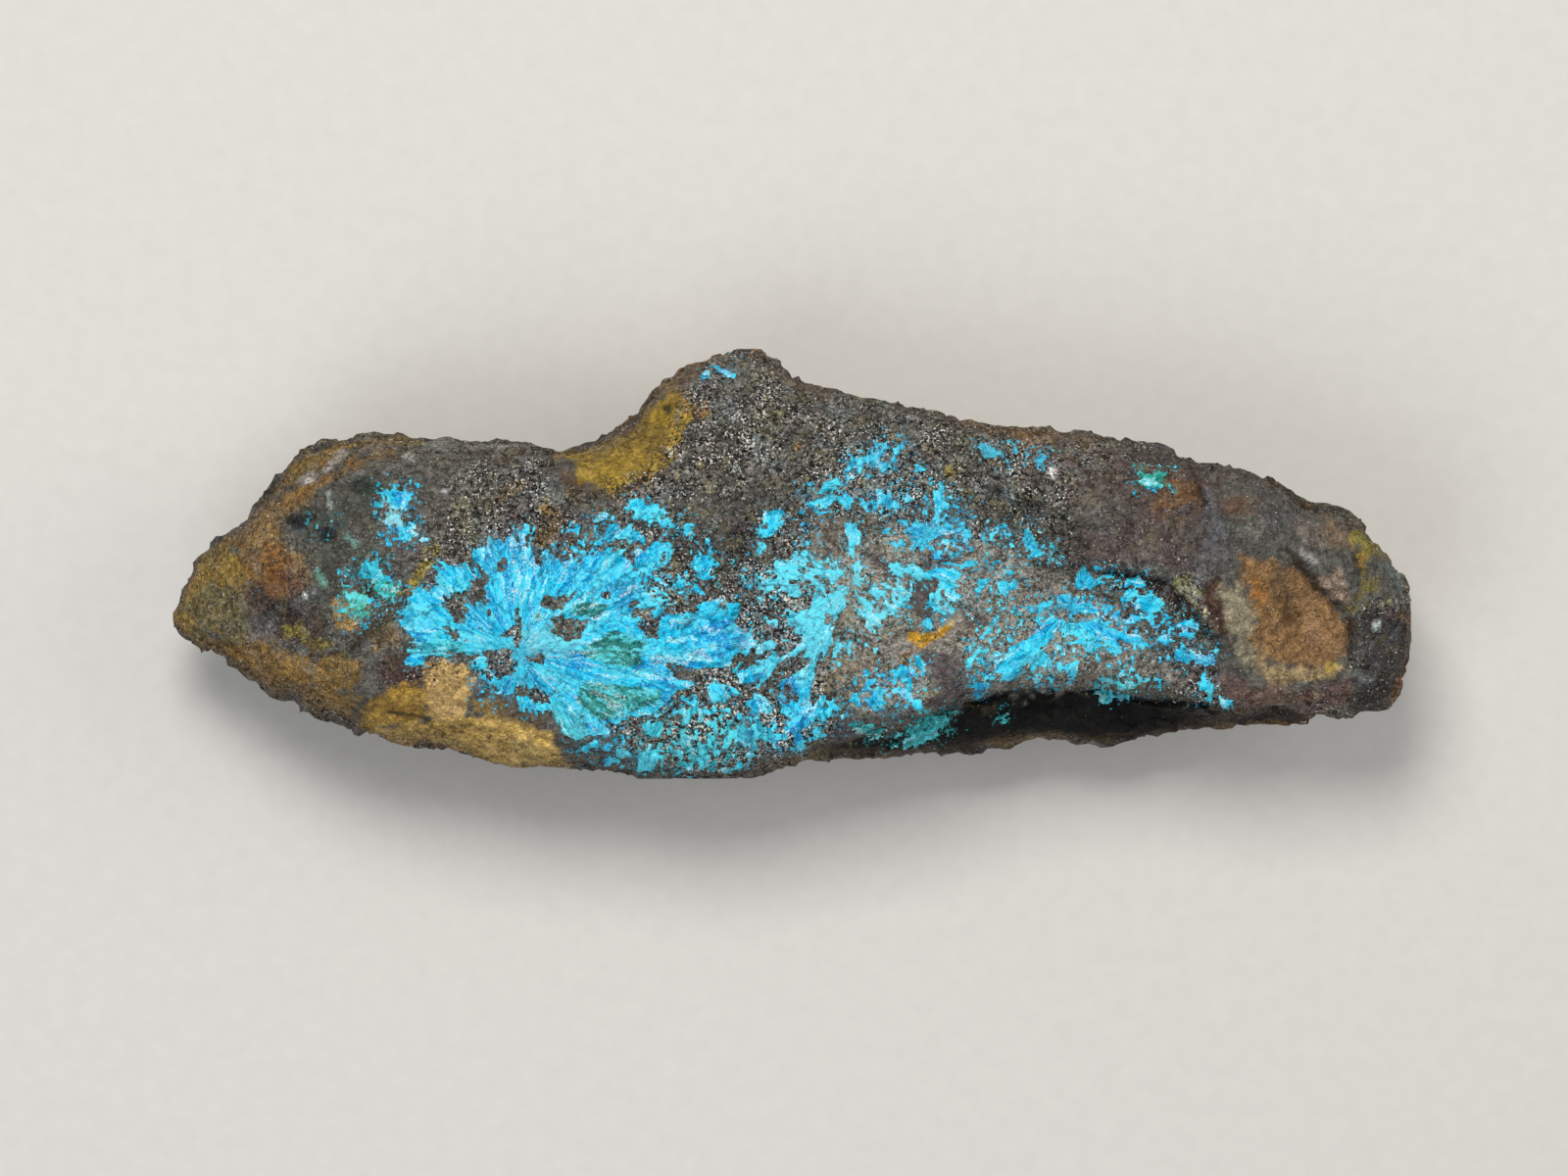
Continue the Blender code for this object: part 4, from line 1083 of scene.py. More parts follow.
class FaceMap:
    """What lies where on the display face, on a square grid seen from above.

    cover is how far inside the film a point is, owner the region it belongs to, radial its angle and
    distance in that region's fan, lath a random value that each lath has for itself, tone the colour of
    the rock with the painted shade and light among its stains, tint the colour of the film, powder the
    share of film dust on the bare rock, druse the strength of the quartz, and relief the extra height.
    """

    STEP = 0.08
    HALF_LENGTH = 40.56
    HALF_WIDTH = 14.4
    ROCK = "#63625C"
    FILM = "#0ECDF8"
    DEEP, PALE = "#009EE6", "#68E6FA"
    LATH_WIDTH, LATH_LENGTH = 0.32, 1.5
    TOOTH_DEPTH = 0.28  # how far a lath can stick out of the film's edge
    FLAKE, FLAKE_DEPTH = 0.34, 0.09
    FRAY = 0.08
    POWDER, HALO = 0.9, 0.13  # share of finer dust in a haze, and close to a film
    POWDER_SHADE = 0.8
    SEAM = 0.13  # the gap round each fleck of a haze, in parts of its width
    CLUMPING = 0.9  # how much the flecks of a haze gather
    BAND_COVER, THIN_COVER = 0.85, 0.3  # how far the bands and the thin rims change the film's colour
    DRUSE, DRUSE_SWING = 0.5, 0.35

    def __init__(self) -> None:
        """Draws every layer once, in a fixed order."""
        xs = np.arange(-self.HALF_LENGTH, self.HALF_LENGTH + self.STEP / 2, self.STEP)
        ys = np.arange(-self.HALF_WIDTH, self.HALF_WIDTH + self.STEP / 2, self.STEP)
        self.x, self.y = np.meshgrid(xs, ys)
        self.flat = np.column_stack([self.x.ravel(), self.y.ravel()])
        self.fray = self.layer(0.3, Seed.FRAY, 2)
        self.flakes = self.cell_layer(self.FLAKE, Seed.FLAKES)[0] * 2 - 1
        self._lay_film()
        self.tone = self.paint(linear(self.ROCK), STAINS_AND_PAINTED_LIGHT, Seed.STAINS_AND_PAINTED_LIGHT)
        self.tint = self._film_tint()
        self.powder, self.powder_tint = self._lay_powder(), self.tint * self.POWDER_SHADE
        self.druse = self._lay_druse()
        self.relief = self._lay_relief()

    def layer(self, size: float, seed: int, octaves: int = 1) -> Array:
        """A noise layer over the whole grid."""
        return noise(self.flat, size, seed, octaves).reshape(self.x.shape)

    def cell_layer(self, size: float, seed: int) -> list[Array]:
        """The three layers of irregular cells over the whole grid."""
        return [values.reshape(self.x.shape) for values in cells(self.flat, size, seed)]

    def window(self, path: Points, margin: float) -> tuple[slice, slice]:
        """Finds the part of the grid that something lies in.

        Args:
            path: Its points.
            margin: How far it reaches past them, in mm.

        Returns:
            The rows and the columns.
        """
        low, high = np.min(path, axis=0) - margin, np.max(path, axis=0) + margin
        first = ((low + (self.HALF_LENGTH, self.HALF_WIDTH)) / self.STEP).astype(int)
        last = ((high + (self.HALF_LENGTH, self.HALF_WIDTH)) / self.STEP).astype(int) + 2
        first = np.maximum(first, 0)
        return slice(first[1], max(last[1], 0)), slice(first[0], max(last[0], 0))

    def _lay_film(self) -> None:
        """Works out where the film is, which region it belongs to and how its laths run."""
        shape = self.x.shape
        self.cover, self.owner = np.full(shape, -FAR), np.zeros(shape, int)
        self.lath, self.radial, self.laths_round = np.zeros(shape), np.zeros((*shape, 2)), np.ones(shape)
        hazes = {size: self.cell_layer(size, Seed.HAZES + int(100 * size))
                 for size in sorted({haze.grain for region in REGIONS for haze in region.haze})}
        clusters = self.layer(1.1, Seed.CLUSTERS, 2)
        for index, region in enumerate(REGIONS):
            outlines = (*region.films, *(s.path for s in region.specks), *(h.outline for h in region.haze))
            where = self.window([point for outline in outlines for point in outline], 1.2)
            x, y, fray = self.x[where], self.y[where], self.fray[where]
            dx, dy = x - region.heart[0][0], y - region.heart[0][1]
            reach, turn = np.hypot(dx, dy), np.arctan2(dy, dx) / (2 * np.pi)
            rim = [np.hypot(*np.subtract(point, region.heart[0])) for film in region.films for point in film]
            laths_round = round(2 * np.pi * float(np.median(rim)) / self.LATH_WIDTH)
            fan = np.column_stack([(turn * laths_round).ravel(), (reach / self.LATH_LENGTH).ravel()])
            lath = cells(fan, 1.0, Seed.LATHS + index)[0].reshape(x.shape)
            teeth = self.TOOTH_DEPTH * (2 * lath - 1) * soft(reach, 0.5, 4.0)
            depth = self._film_depth(region, where, teeth)
            for haze in region.haze:
                lot, border, _ = (values[where] for values in hazes[haze.grain])
                share = haze.share * (1 + self.CLUMPING * clusters[where])
                share = share * soft(area_depth(haze.outline, x, y) + 0.5 * fray, -0.35, 0.45)
                flecks = np.where(lot < share, border - self.SEAM, -border - self.SEAM) * haze.grain
                depth = np.maximum(depth, np.where(share > 0.004, flecks + 0.5 * self.FRAY * fray, -FAR))
            wins = depth > self.cover[where]
            self.cover[where][wins] = depth[wins]
            self.owner[where][wins] = index
            self.lath[where][wins], self.laths_round[where][wins] = lath[wins], laths_round
            self.radial[where][wins] = np.stack([turn, reach], axis=-1)[wins]

    def _film_depth(self, region: Region, where: tuple[slice, slice], teeth: Array) -> Array:
        """Measures how far inside a region's films points are, with ragged rims and bare patches.

        Args:
            region: The region.
            where: The part of the grid.
            teeth: How far the lath at each point sticks out of the film, in mm.

        Returns:
            The distance of each point to the rim in mm, below 0 outside it.
        """
        x, y = self.x[where], self.y[where]
        depth = np.full(x.shape, -FAR)
        for outline in region.films:
            depth = np.maximum(depth, area_depth(outline, x, y))
        for speck in region.specks:
            depth = np.maximum(depth, speck.radius - line_distance(speck.path, x, y))
        ragged = self.FLAKE_DEPTH * self.flakes[where] + self.FRAY * self.fray[where]
        ragged += teeth
        depth = depth + ragged * soft(depth, -1.0, -0.2)
        for outline in region.bare:
            depth = np.minimum(depth, 0.5 * ragged - area_depth(outline, x, y))
        return depth

    def paint(self, base: Array, stains: Sequence[Stain], seed: int) -> Array:
        """Lays stains over a base colour, one after another.

        Args:
            base: The linear colour, or a grid of it, that shows where there is no stain.
            stains: The patches, the lowest first.
            seed: Which noise frays their edges.

        Returns:
            A grid of linear colours.
        """
        colours = np.broadcast_to(base, (*self.x.shape, 3)).copy()
        rim = 0.6 * self.layer(1.5, seed, 2) + 0.7 * self.layer(0.4, seed + 5, 2) + 0.5 * self.flakes
        for stain in stains:
            where = self.window(stain.outline, 3 * stain.edge + stain.radius + 0.5)
            x, y = self.x[where], self.y[where]
            if stain.radius:
                depth = stain.radius - line_distance(stain.outline, x, y)
            else:
                depth = area_depth(stain.outline, x, y)
            depth = depth + rim[where] * stain.edge
            weight = (stain.cover * soft(depth, -0.55 * stain.edge, 0.55 * stain.edge))[..., None]
            colours[where] += weight * (linear(stain.colour) - colours[where])
        return colours

    def _film_tint(self) -> Array:
        """Colours the film in bands of deep and pale blue along its laths, then with its tints.

        Returns:
            A grid of linear colours.
        """
        turn, reach = self.radial[..., 0], self.radial[..., 1]
        coords = np.column_stack([(turn * self.laths_round / 3).ravel(), (reach / 3.2).ravel()])
        band = noise(coords, 1.0, Seed.BANDS, 3).reshape(self.x.shape)
        band += 0.4 * self.layer(1.8, Seed.BAND_DRIFT)
        band += 1.2 * (self.lath - 0.5)
        base = np.broadcast_to(linear(self.FILM), (*self.x.shape, 3)).copy()
        for code, weight in ((self.DEEP, soft(-band, 0.0, 0.9)), (self.PALE, soft(band, 0.25, 1.2))):
            base += self.BAND_COVER * weight[..., None] * (linear(code) - base)
        thin = soft(-self.cover, -0.22, 0.0)[..., None]
        base += self.THIN_COVER * thin * (linear(self.PALE) - base)
        return self.paint(base, FILM_TINTS_AND_GLINT, Seed.TINTS)

    def _lay_powder(self) -> Array:
        """Dusts the bare rock with flecks that are too small to have a shape.

        Returns:
            A grid of the share of the rock that they hide.
        """
        powder = self.HALO * soft(self.cover, -0.8, -0.05)
        for haze in (haze for region in REGIONS for haze in region.haze):
            where = self.window(haze.outline, 1.5)
            depth = area_depth(haze.outline, self.x[where], self.y[where]) + 0.5 * self.fray[where]
            share = self.POWDER * haze.share * soft(depth, -0.9, 0.5)
            powder[where] = np.maximum(powder[where], share)
        return powder

    def _lay_druse(self) -> Array:
        """Lays the quartz druse: some nearly everywhere, most in its own zones.

        Returns:
            A grid of its strength, from 0 to 1.
        """
        druse = self.DRUSE + self.DRUSE_SWING * self.layer(2.4, Seed.DRUSE, 2)
        for zone in DRUSE_ZONES:
            where = self.window(zone.outline, 2 * zone.edge + 0.5)
            depth = area_depth(zone.outline, self.x[where], self.y[where]) + 0.6 * self.fray[where]
            druse[where] += soft(depth, -zone.edge, zone.edge) * (zone.strength - druse[where])
        return np.clip(druse, 0.0, 1.0)

    def _lay_relief(self) -> Array:
        """Cuts and raises the furrows, ribs, pits and ledges that the solid is too coarse for.

        Returns:
            A grid of heights in mm.
        """
        relief = np.zeros(self.x.shape)
        for groove in GROOVES:
            where = self.window(groove.path, 4 * groove.width + 0.5)
            away = line_distance(groove.path, self.x[where], self.y[where])
            away = away + 0.45 * groove.width * self.fray[where]
            relief[where] -= groove.depth * np.exp(-(away / groove.width) ** 2)
        for ledge in LEDGES:
            where = self.window(ledge.path, 3 * ledge.fade)
            x, y = self.x[where], self.y[where]
            away = side_distance(ledge.path, x, y) + 0.25 * self.fray[where]
            ends = np.minimum(line_distance(ledge.path[:1], x, y), line_distance(ledge.path[-1:], x, y))
            rise = soft(away, -0.05, 0.1) * np.exp(-np.abs(away) / ledge.fade)
            relief[where] += ledge.rise * rise * soft(ends, 0.1, 1.5)
        return relief

    def sample(self, grid: Array, place: Array) -> Array:
        """Reads a grid between its points.

        Args:
            grid: A layer of this map, with or without channels.
            place: Points as rows, in mm.

        Returns:
            One row for each point.
        """
        rows, columns = self.x.shape
        u = np.clip((place[:, 0] + self.HALF_LENGTH) / self.STEP, 0, columns - 1.001)
        v = np.clip((place[:, 1] + self.HALF_WIDTH) / self.STEP, 0, rows - 1.001)
        i, j = v.astype(int), u.astype(int)
        fu, fv = u - j, v - i
        if grid.ndim == 3:
            fu, fv = fu[:, None], fv[:, None]
        low = grid[i, j] * (1 - fu) + grid[i, j + 1] * fu
        high = grid[i + 1, j] * (1 - fu) + grid[i + 1, j + 1] * fu
        return low * (1 - fv) + high * fv


def add_node(tree: NodeTree, kind: str, inputs: Sequence | dict = (),
             **settings: object) -> Node:
    """Adds a node to a tree, with its settings and links.

    Args:
        tree: The material's or the modifier's tree.
        kind: The node's type, less "ShaderNode" where that is how it starts.
        inputs: A value, a node or a socket for each input, by name or number, or else in the order in
            which the node shows them, where None leaves one as it is.
        settings: Values for the node's own properties.

    Returns:
        The new node.
    """
    node = tree.nodes.new(kind if "Node" in kind else "ShaderNode" + kind)
    for key, value in settings.items():
        setattr(node, key, value)
    if isinstance(inputs, dict):
        pairs = [(node.inputs[key], value) for key, value in inputs.items()]
    else:
        pairs = zip([socket for socket in node.inputs if socket.enabled], inputs)
    for socket, value in pairs:
        if isinstance(value, Node):
            value = next(output for output in value.outputs if output.enabled)
        if isinstance(value, NodeSocket):
            tree.links.new(value, socket)
        elif value is not None:
            socket.default_value = value
    return node


def new_material(name: str) -> tuple[Material, AddNode, Node]:
    """Makes an empty material.

    Args:
        name: What the surface is.

    Returns:
        The material, what adds a node to it, and a node that gives the place on the piece in mm, so
        that a texture's scale is bumps to the millimetre.
    """
    material = bpy.data.materials.new(name)
    material.use_nodes = True
    material.node_tree.nodes.clear()
    add = partial(add_node, material.node_tree)
    place = add("TexCoord").outputs["Object"]
    return material, add, add("VectorMath", (place, 1 / MM), operation="SCALE")


def coat(add: AddNode, colour: Node, roughness: Node | float, ior: float = 1.5,
         specular: float = 0.5, bump: Node | None = None) -> None:
    """Finishes a material with its one shader.

    Args:
        add: What adds a node to the material.
        colour: The colour of the surface.
        roughness: Its roughness.
        ior: Its index of refraction.
        specular: How much of that reflection a weathered or silky surface keeps, 0.5 being all of it.
        bump: Its fine relief, if it has any.
    """
    shader = add("BsdfPrincipled", {"Base Color": colour, "Roughness": roughness, "IOR": ior,
                                    "Specular IOR Level": specular, "Normal": bump})
    add("OutputMaterial", {"Surface": shader})


@dataclass(frozen=True)
class DrusyRock:
    """Iron-stained arsenic-ore matrix under a skin of tiny quartz crystals.

    A broken, weathered rock: dull between the crystals, with grains of 0.1 to 0.2 mm that are glassy.
    Each grain's tone swings, partly in its own colour and partly as painted light on its facets. Painted
    glints of near white speckle the crystals, most along the thin crevices, and painted shade makes the
    crevices and the pits near black. Where there is no druse, the rock has knobs instead, bumped and
    painted lighter in the middle and darker at the rim. facet and nodule are the widths of a crystal and
    of a knob in mm, and relief the height of its bumps. Each mottle is its bumps to the mm, seed, colour
    and cover, and each shade its bumps to the mm and its darkest and lightest.
    """

    roughness: float = 0.8
    ior: float = 1.54
    specular: float = 0.2
    relief: float = 0.16
    facet: float = 0.14
    nodule: float = 0.55
    mottles: tuple[tuple[float, float, str, float], ...] = (
        (0.75, 3.0, "#8D999D", 0.42), (1.0, 7.0, "#857C4E", 0.45), (0.6, 11.0, "#594A4E", 0.5),
        (1.5, 19.0, "#8A6038", 0.16))
    shades: tuple[tuple[float, float, float], ...] = ((0.4, 0.75, 1.3), (2.2, 0.45, 1.6), (6.0, 0.4, 1.75))
    # dark is the painted shade of the crevices and pits, and light the painted glint of the crystals.
    dark: str = "#100E0D"
    light: str = "#F6F5EE"
    broken: Ramp = (0.05, 0.6, 0.05, 1.0)  # how broken the rock is, by the druse on it
    # each grain's tone, partly its own colour and partly painted light on its facets
    grain_tone_and_facet_light: Ramp = (0.0, 1.0, 0.55, 1.5)
    # painted light in the middle of each knob and painted shade at its rim
    painted_knob_light_and_shade: Ramp = (0.12, 0.68, 1.45, 0.68)
    drift: Ramp = (0.42, 0.58, 0.3, 1.7)  # how the film's dust gathers
    gathered: Ramp = (0.42, 0.6, 0.15, 1.0)  # how the crystals gather
    # The crevice and hole ramps place painted shade, and the glint ramp places painted highlight.
    crevice_painted_shade: Ramp = (0.483, 0.494, 0.0, 0.88)
    beside: Ramp = (0.45, 0.488, 0.0, 0.05)  # how many more painted glints gather along the crevices
    pit_painted_shade: Ramp = (0.425, 0.375, 0.0, 0.95)
    painted_glint: Ramp = (0.71, 0.74, 0.0, 1.0)

    def make(self) -> Material:
        """Builds the rock's material.

        Returns:
            The material, which reads the colours and the druse stored at the rock's points.
        """
        material, add, place = new_material("weathered_drusy_rock")
        stored = {name: add("Attribute", attribute_name=name)
                  for name in ("tone", "druse", "powder", "powder_tint")}
        druse = stored["druse"].outputs["Fac"]
        broken = add("MapRange", (druse, *self.broken))
        smooth = add("Math", (1.0, broken), operation="SUBTRACT")
        colour = self._weathered(add, place, broken, stored["tone"])
        cell = add("TexVoronoi", (place, 1 / self.facet))
        lots = add("SeparateColor", (cell.outputs["Color"],))
        # Each grain's tone swings at random, partly its own colour and partly painted light on its facets.
        grained = add("Mix", (1.0, colour, add("MapRange", (lots, *self.grain_tone_and_facet_light))), **TINTED)
        colour = add("Mix", (druse, colour, grained), **MIXED)
        warp = add("TexNoise", (place, 2.0, 2.0, 0.5)).outputs["Color"]
        warp = add("VectorMath", (place, warp), operation="ADD")
        nodule = add("TexVoronoi", (warp, 1 / self.nodule))
        # Painted light in the middle of each knob and painted shade at its rim, where the rock is smooth.
        shaded_knobs = add("Mix", (1.0, colour, add("MapRange", (nodule, *self.painted_knob_light_and_shade))), **TINTED)
        colour = add("Mix", (smooth, colour, shaded_knobs), **MIXED)
        drift = add("MapRange", (add("TexNoise", (place, 1.7, 5.0, 0.65)), *self.drift))
        drift = add("Math", (stored["powder"].outputs["Fac"], drift), operation="MULTIPLY")
        dust = add("Math", (lots.outputs[1], drift), operation="LESS_THAN")
        dust = add("MapRange", (dust, 0.0, 1.0, 0.0, 0.8))
        colour = add("Mix", (dust, colour, stored["powder_tint"]), **MIXED)
        colour, crack = self._sparkling(add, place, druse, broken, colour)
        sheen = add("MapRange", (druse, 0.2, 1.0, self.roughness, 0.5))
        height = add("TexNoise", (place, 2.4, 6.0, 0.6))
        knobs = add("Math", (nodule, smooth), operation="MULTIPLY")
        for what, depth in ((cell, 0.6), (crack, -0.35), (knobs, -1.3)):
            height = add("Math", (what, depth, height), operation="MULTIPLY_ADD")
        bump = add("Bump", {"Strength": 1.0, "Distance": self.relief * MM, "Height": height})
        coat(add, colour, sheen, self.ior, self.specular, bump)
        return material

    def _weathered(self, add: AddNode, place: Node, broken: Node, colour: Node) -> Node:
        """Mottles and shades the bare rock, where it is broken.

        Args:
            add: What adds a node to the material.
            place: The place on the piece in mm.
            broken: How broken the rock is.
            colour: The rock's own colour.

        Returns:
            The changed colour.
        """
        for per, seed, code, cover in self.mottles:
            cloud = add("TexNoise", (place, seed, per, 5.0, 0.6), noise_dimensions="4D")
            share = add("MapRange", (cloud, 0.52, 0.64, 0.0, cover))
            share = add("Math", (share, broken), operation="MULTIPLY")
            colour = add("Mix", (share, colour, rgba(code)), **MIXED)
        for per, low, high in self.shades:
            cloud = add("TexNoise", (place, per, 5.0, 0.6))
            shade = add("MapRange", (cloud, 0.34, 0.66, low, high))
            colour = add("Mix", (broken, colour, shade), **TINTED)
        return colour

    def _sparkling(self, add: AddNode, place: Node, druse: NodeSocket, broken: Node,
                   colour: Node) -> tuple[Node, Node]:
        """Paints shade into the crevices and holes, and glints of highlight on the crystals, most where the
        druse is rich.

        Args:
            add: What adds a node to the material.
            place: The place on the piece in mm.
            druse: The strength of the druse.
            broken: How broken the rock is.
            colour: The colour so far.

        Returns:
            The changed colour, and how far each point is in the crevices, which the bump uses too.
        """
        gathered = add("MapRange", (add("TexNoise", (place, 0.5, 5.0, 0.55)), *self.gathered))
        rich = add("Math", (druse, gathered), operation="MULTIPLY")
        vein = add("TexNoise", (place, 0.9, 8.0, 0.62))
        vein = add("Math", (vein, 0.5), operation="PINGPONG")
        crack = add("MapRange", (vein, *self.crevice_painted_shade))
        pit_painted_shade = add("TexNoise", (place, 3.4, 5.0, 0.6))
        pit_painted_shade = add("Math", (rich, -0.12, pit_painted_shade), operation="MULTIPLY_ADD")
        pit_painted_shade = add("MapRange", (pit_painted_shade, *self.pit_painted_shade))
        lift = add("Math", (rich, 0.165, add("MapRange", (vein, *self.beside))), operation="MULTIPLY_ADD")
        painted_glint = add("TexNoise", (place, 5.8, 2.0, 0.6))
        painted_glint = add("Math", (painted_glint, lift), operation="ADD")
        painted_glint = add("MapRange", (painted_glint, *self.painted_glint))
        # Painted shade in the crevices and holes, and painted highlight in the glints.
        for share, code in ((crack, self.dark), (pit_painted_shade, self.dark), (painted_glint, self.light)):
            share = add("Math", (share, broken), operation="MULTIPLY")
            colour = add("Mix", (share, colour, rgba(code)), **MIXED)
        return colour, crack


@dataclass(frozen=True)
class LavendulanFilm:
    """Lavendulan, a hydrous copper arsenate, as a film of radiating laths.

    Silky to waxy rather than glassy. The laths are too fine to be modelled one by one, so streaks of
    deeper and paler blue run along them, with a little relief. Painted shade darkens the gaps, where the
    rock shows through, dark specks and the cracks between the plates that the film has broken into, and
    painted glints of near white pick out some laths and specks. blade, the length of a lath, plate and
    relief are in mm, and roughness holds its least and greatest.
    """

    roughness: tuple[float, float] = (0.4, 0.62)
    ior: float = 1.66
    specular: float = 0.08
    relief: float = 0.12
    blade: float = 1.1
    plate: float = 1.3
    deep: str = "#5CBEC6"
    pale: str = "#62ECFF"
    # glint is painted highlight, and gap is painted shade over the rock that shows through.
    painted_glint: str = "#ECFEFF"
    gap_and_crack_shade: str = "#1E4A58"

    def make(self) -> Material:
        """Builds the material of the film and of its laths.

        Returns:
            The material, which reads the colours and the run of the laths stored at the points.
        """
        material, add, place = new_material("silky_lavendulan")
        stored = {name: add("Attribute", attribute_name=name) for name in ("tint", "fan", "shade")}
        colour = stored["tint"]
        warp = add("TexNoise", (place, 1.3, 3.0, 0.6)).outputs["Color"]
        fan = add("VectorMath", (stored["fan"].outputs["Vector"], (1.0, 1 / self.blade, 1.0)),
                  operation="MULTIPLY")
        fan = add("VectorMath", (warp, (3.0, 1.5, 0.0), fan), operation="MULTIPLY_ADD")
        blades = add("TexVoronoi", (fan, 1.0))
        lots = add("SeparateColor", (blades.outputs["Color"],))
        streak = add("TexNoise", (fan, 2.2, 4.0, 0.6))
        grain = add("TexNoise", (place, 3.0, 6.0, 0.68))
        speckle = add("TexNoise", (place, 7.5, 3.0, 0.6))
        mixed = add("Math", (grain, 0.4), operation="MULTIPLY")
        for what, part in ((streak, 0.45), (lots, 0.15)):
            mixed = add("Math", (what, part, mixed), operation="MULTIPLY_ADD")
        warp = add("VectorMath", (place, warp), operation="ADD")
        border = add("TexVoronoi", (warp, 1 / self.plate), feature="DISTANCE_TO_EDGE")
        patchy = add("MapRange", (grain, 0.46, 0.54, 0.035, 0.0))
        crack = add("Math", (border, patchy), operation="LESS_THAN")
        deepened = add("MapRange", (mixed, 0.48, 0.4, 0.0, 1.0))
        colour = add("Mix", (deepened, colour, rgba(self.deep)), **TINTED)
        bright = add("Math", (lots.outputs[1], 0.12), operation="LESS_THAN")
        bright = add("Math", (bright, speckle), operation="MULTIPLY")
        # The pale bands are the film's own colour. The glints on bright laths, on specks and on some loose
        # laths are painted highlight, and the gap colour in dark specks and cracks is painted shade.
        for value, low, high, cover, code in (
                (mixed, 0.5, 0.58, 0.85, self.pale), (bright, 0.46, 0.56, 0.6, self.painted_glint),
                (speckle, 0.62, 0.68, 0.6, self.painted_glint), (speckle, 0.36, 0.3, 0.5, self.gap_and_crack_shade),
                (crack, 0.0, 1.0, 0.45, self.gap_and_crack_shade),
                (stored["shade"].outputs["Fac"], 0.5, 1.0, 0.3, self.painted_glint)):
            share = add("MapRange", (value, low, high, 0.0, cover))
            colour = add("Mix", (share, colour, rgba(code)), **MIXED)
        silk = add("MapRange", (grain, 0.3, 0.7, *self.roughness))
        height = add("Math", (crack, -0.3, mixed), operation="MULTIPLY_ADD")
        bump = add("Bump", {"Strength": 0.9, "Distance": self.relief * MM, "Height": height})
        coat(add, colour, silk, self.ior, self.specular, bump)
        return material


@dataclass(frozen=True)
class QuartzDruse:
    """Quartz in crystals of a tenth of a millimetre: glassy, most grey, some clear and near white."""

    roughness: float = 0.24
    ior: float = 1.54
    specular: float = 0.4
    dark: str = "#2B2927"
    light: str = "#DEDDD6"

    def make(self) -> Material:
        """Builds the material of the quartz points.

        Returns:
            The material, which takes up the colour of the rock under each point.
        """
        material, add, place = new_material("glassy_quartz_druse")
        colour = add("Attribute", attribute_name="tone")
        lot = add("Attribute", attribute_name="shade").outputs["Fac"]
        for low, high, cover, code in ((0.6, 0.2, 0.85, self.dark), (0.86, 0.98, 0.8, self.light)):
            share = add("MapRange", (lot, low, high, 0.0, cover))
            colour = add("Mix", (share, colour, rgba(code)), **MIXED)
        smudge = add("TexNoise", (place, 2.0))
        smudge = add("MapRange", (smudge, 0.3, 0.7, 0.85, 1.1))
        coat(add, add("Mix", (1.0, colour, smudge), **TINTED), self.roughness, self.ior, self.specular)
        return material


@dataclass(frozen=True)
class StudioFloor:
    """Matt off-white paper, with a faint tooth."""

    roughness: float = 0.9
    colour: str = "#D9D7D2"

    def make(self) -> Material:
        """Builds the floor's material.

        Returns:
            The material.
        """
        material, add, place = new_material("matt_paper")
        tooth = add("TexNoise", (place, 0.8))
        tooth = add("MapRange", (tooth, 0.3, 0.7, 0.98, 1.02))
        coat(add, add("Mix", (1.0, rgba(self.colour), tooth), **TINTED), self.roughness)
        return material


def new_object(name: str, mesh: Mesh) -> Object:
    """Puts a mesh in the scene as an object at the origin.

    Args:
        name: The piece's name.
        mesh: Its mesh, with the piece's place in it.

    Returns:
        The object.
    """
    piece = bpy.data.objects.new(name, mesh)
    bpy.context.scene.collection.objects.link(piece)
    return piece


def fixed_mesh(piece: Object) -> Mesh:
    """Makes a plain mesh of an object as its modifiers leave it, and removes the object.

    Args:
        piece: The object, which is used up.

    Returns:
        The mesh.
    """
    graph = bpy.context.evaluated_depsgraph_get()
    mesh = bpy.data.meshes.new_from_object(piece.evaluated_get(graph), depsgraph=graph)
    bpy.data.objects.remove(piece)
    return mesh


def join_meshes(meshes: Sequence[Mesh]) -> Mesh:
    """Copies several meshes into one, with their attributes.

    Args:
        meshes: The meshes.

    Returns:
        The joined mesh.
    """
    shape = bmesh.new()
    for mesh in meshes:
        shape.from_mesh(mesh)
    joined = bpy.data.meshes.new("joined")
    shape.to_mesh(joined)
    shape.free()
    return joined


def read(mesh: Mesh, what: str) -> Array:
    """Reads the places or the normals of a mesh's points.

    Args:
        mesh: The mesh.
        what: "co" for the places, in metres, or "normal".

    Returns:
        One row for each point.
    """
    source = mesh.vertices if what == "co" else mesh.vertex_normals
    values = np.empty(3 * len(mesh.vertices), np.float32)
    source.foreach_get("co" if what == "co" else "vector", values)
    return values.reshape(-1, 3).astype(float)


def store(mesh: Mesh, name: str, values: Array) -> None:
    """Stores numbers, vectors or colours at a mesh's points.

    Args:
        mesh: The mesh.
        name: The attribute's name, which says whether it is a colour.
        values: One row, or one number, for each point.
    """
    if name in COLOUR_LAYERS:
        values = np.column_stack([np.clip(values, 0, 1), np.ones(len(values))])
        kind, key = "FLOAT_COLOR", "color"
    elif values.ndim == 2:
        kind, key = "FLOAT_VECTOR", "vector"
    else:
        kind, key = "FLOAT", "value"
    made = mesh.attributes.new(name, kind, "POINT")
    made.data.foreach_set(key, np.ascontiguousarray(values, np.float32).ravel())


def dress(piece: Object, material: Material | None, node: str = "") -> None:
    """Gives a piece its material and body, and hides the solid that it stands for.

    Args:
        piece: The finished piece.
        material: Its material, or None where its mesh has it already.
        node: The solid, if it stands for one.
    """
    if material is not None:
        piece.data.materials.clear()
        piece.data.materials.append(material)
    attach(piece, BODY)
    if node:
        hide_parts(node)
    LOG.info("%s: %d faces", piece.name, len(piece.data.polygons))


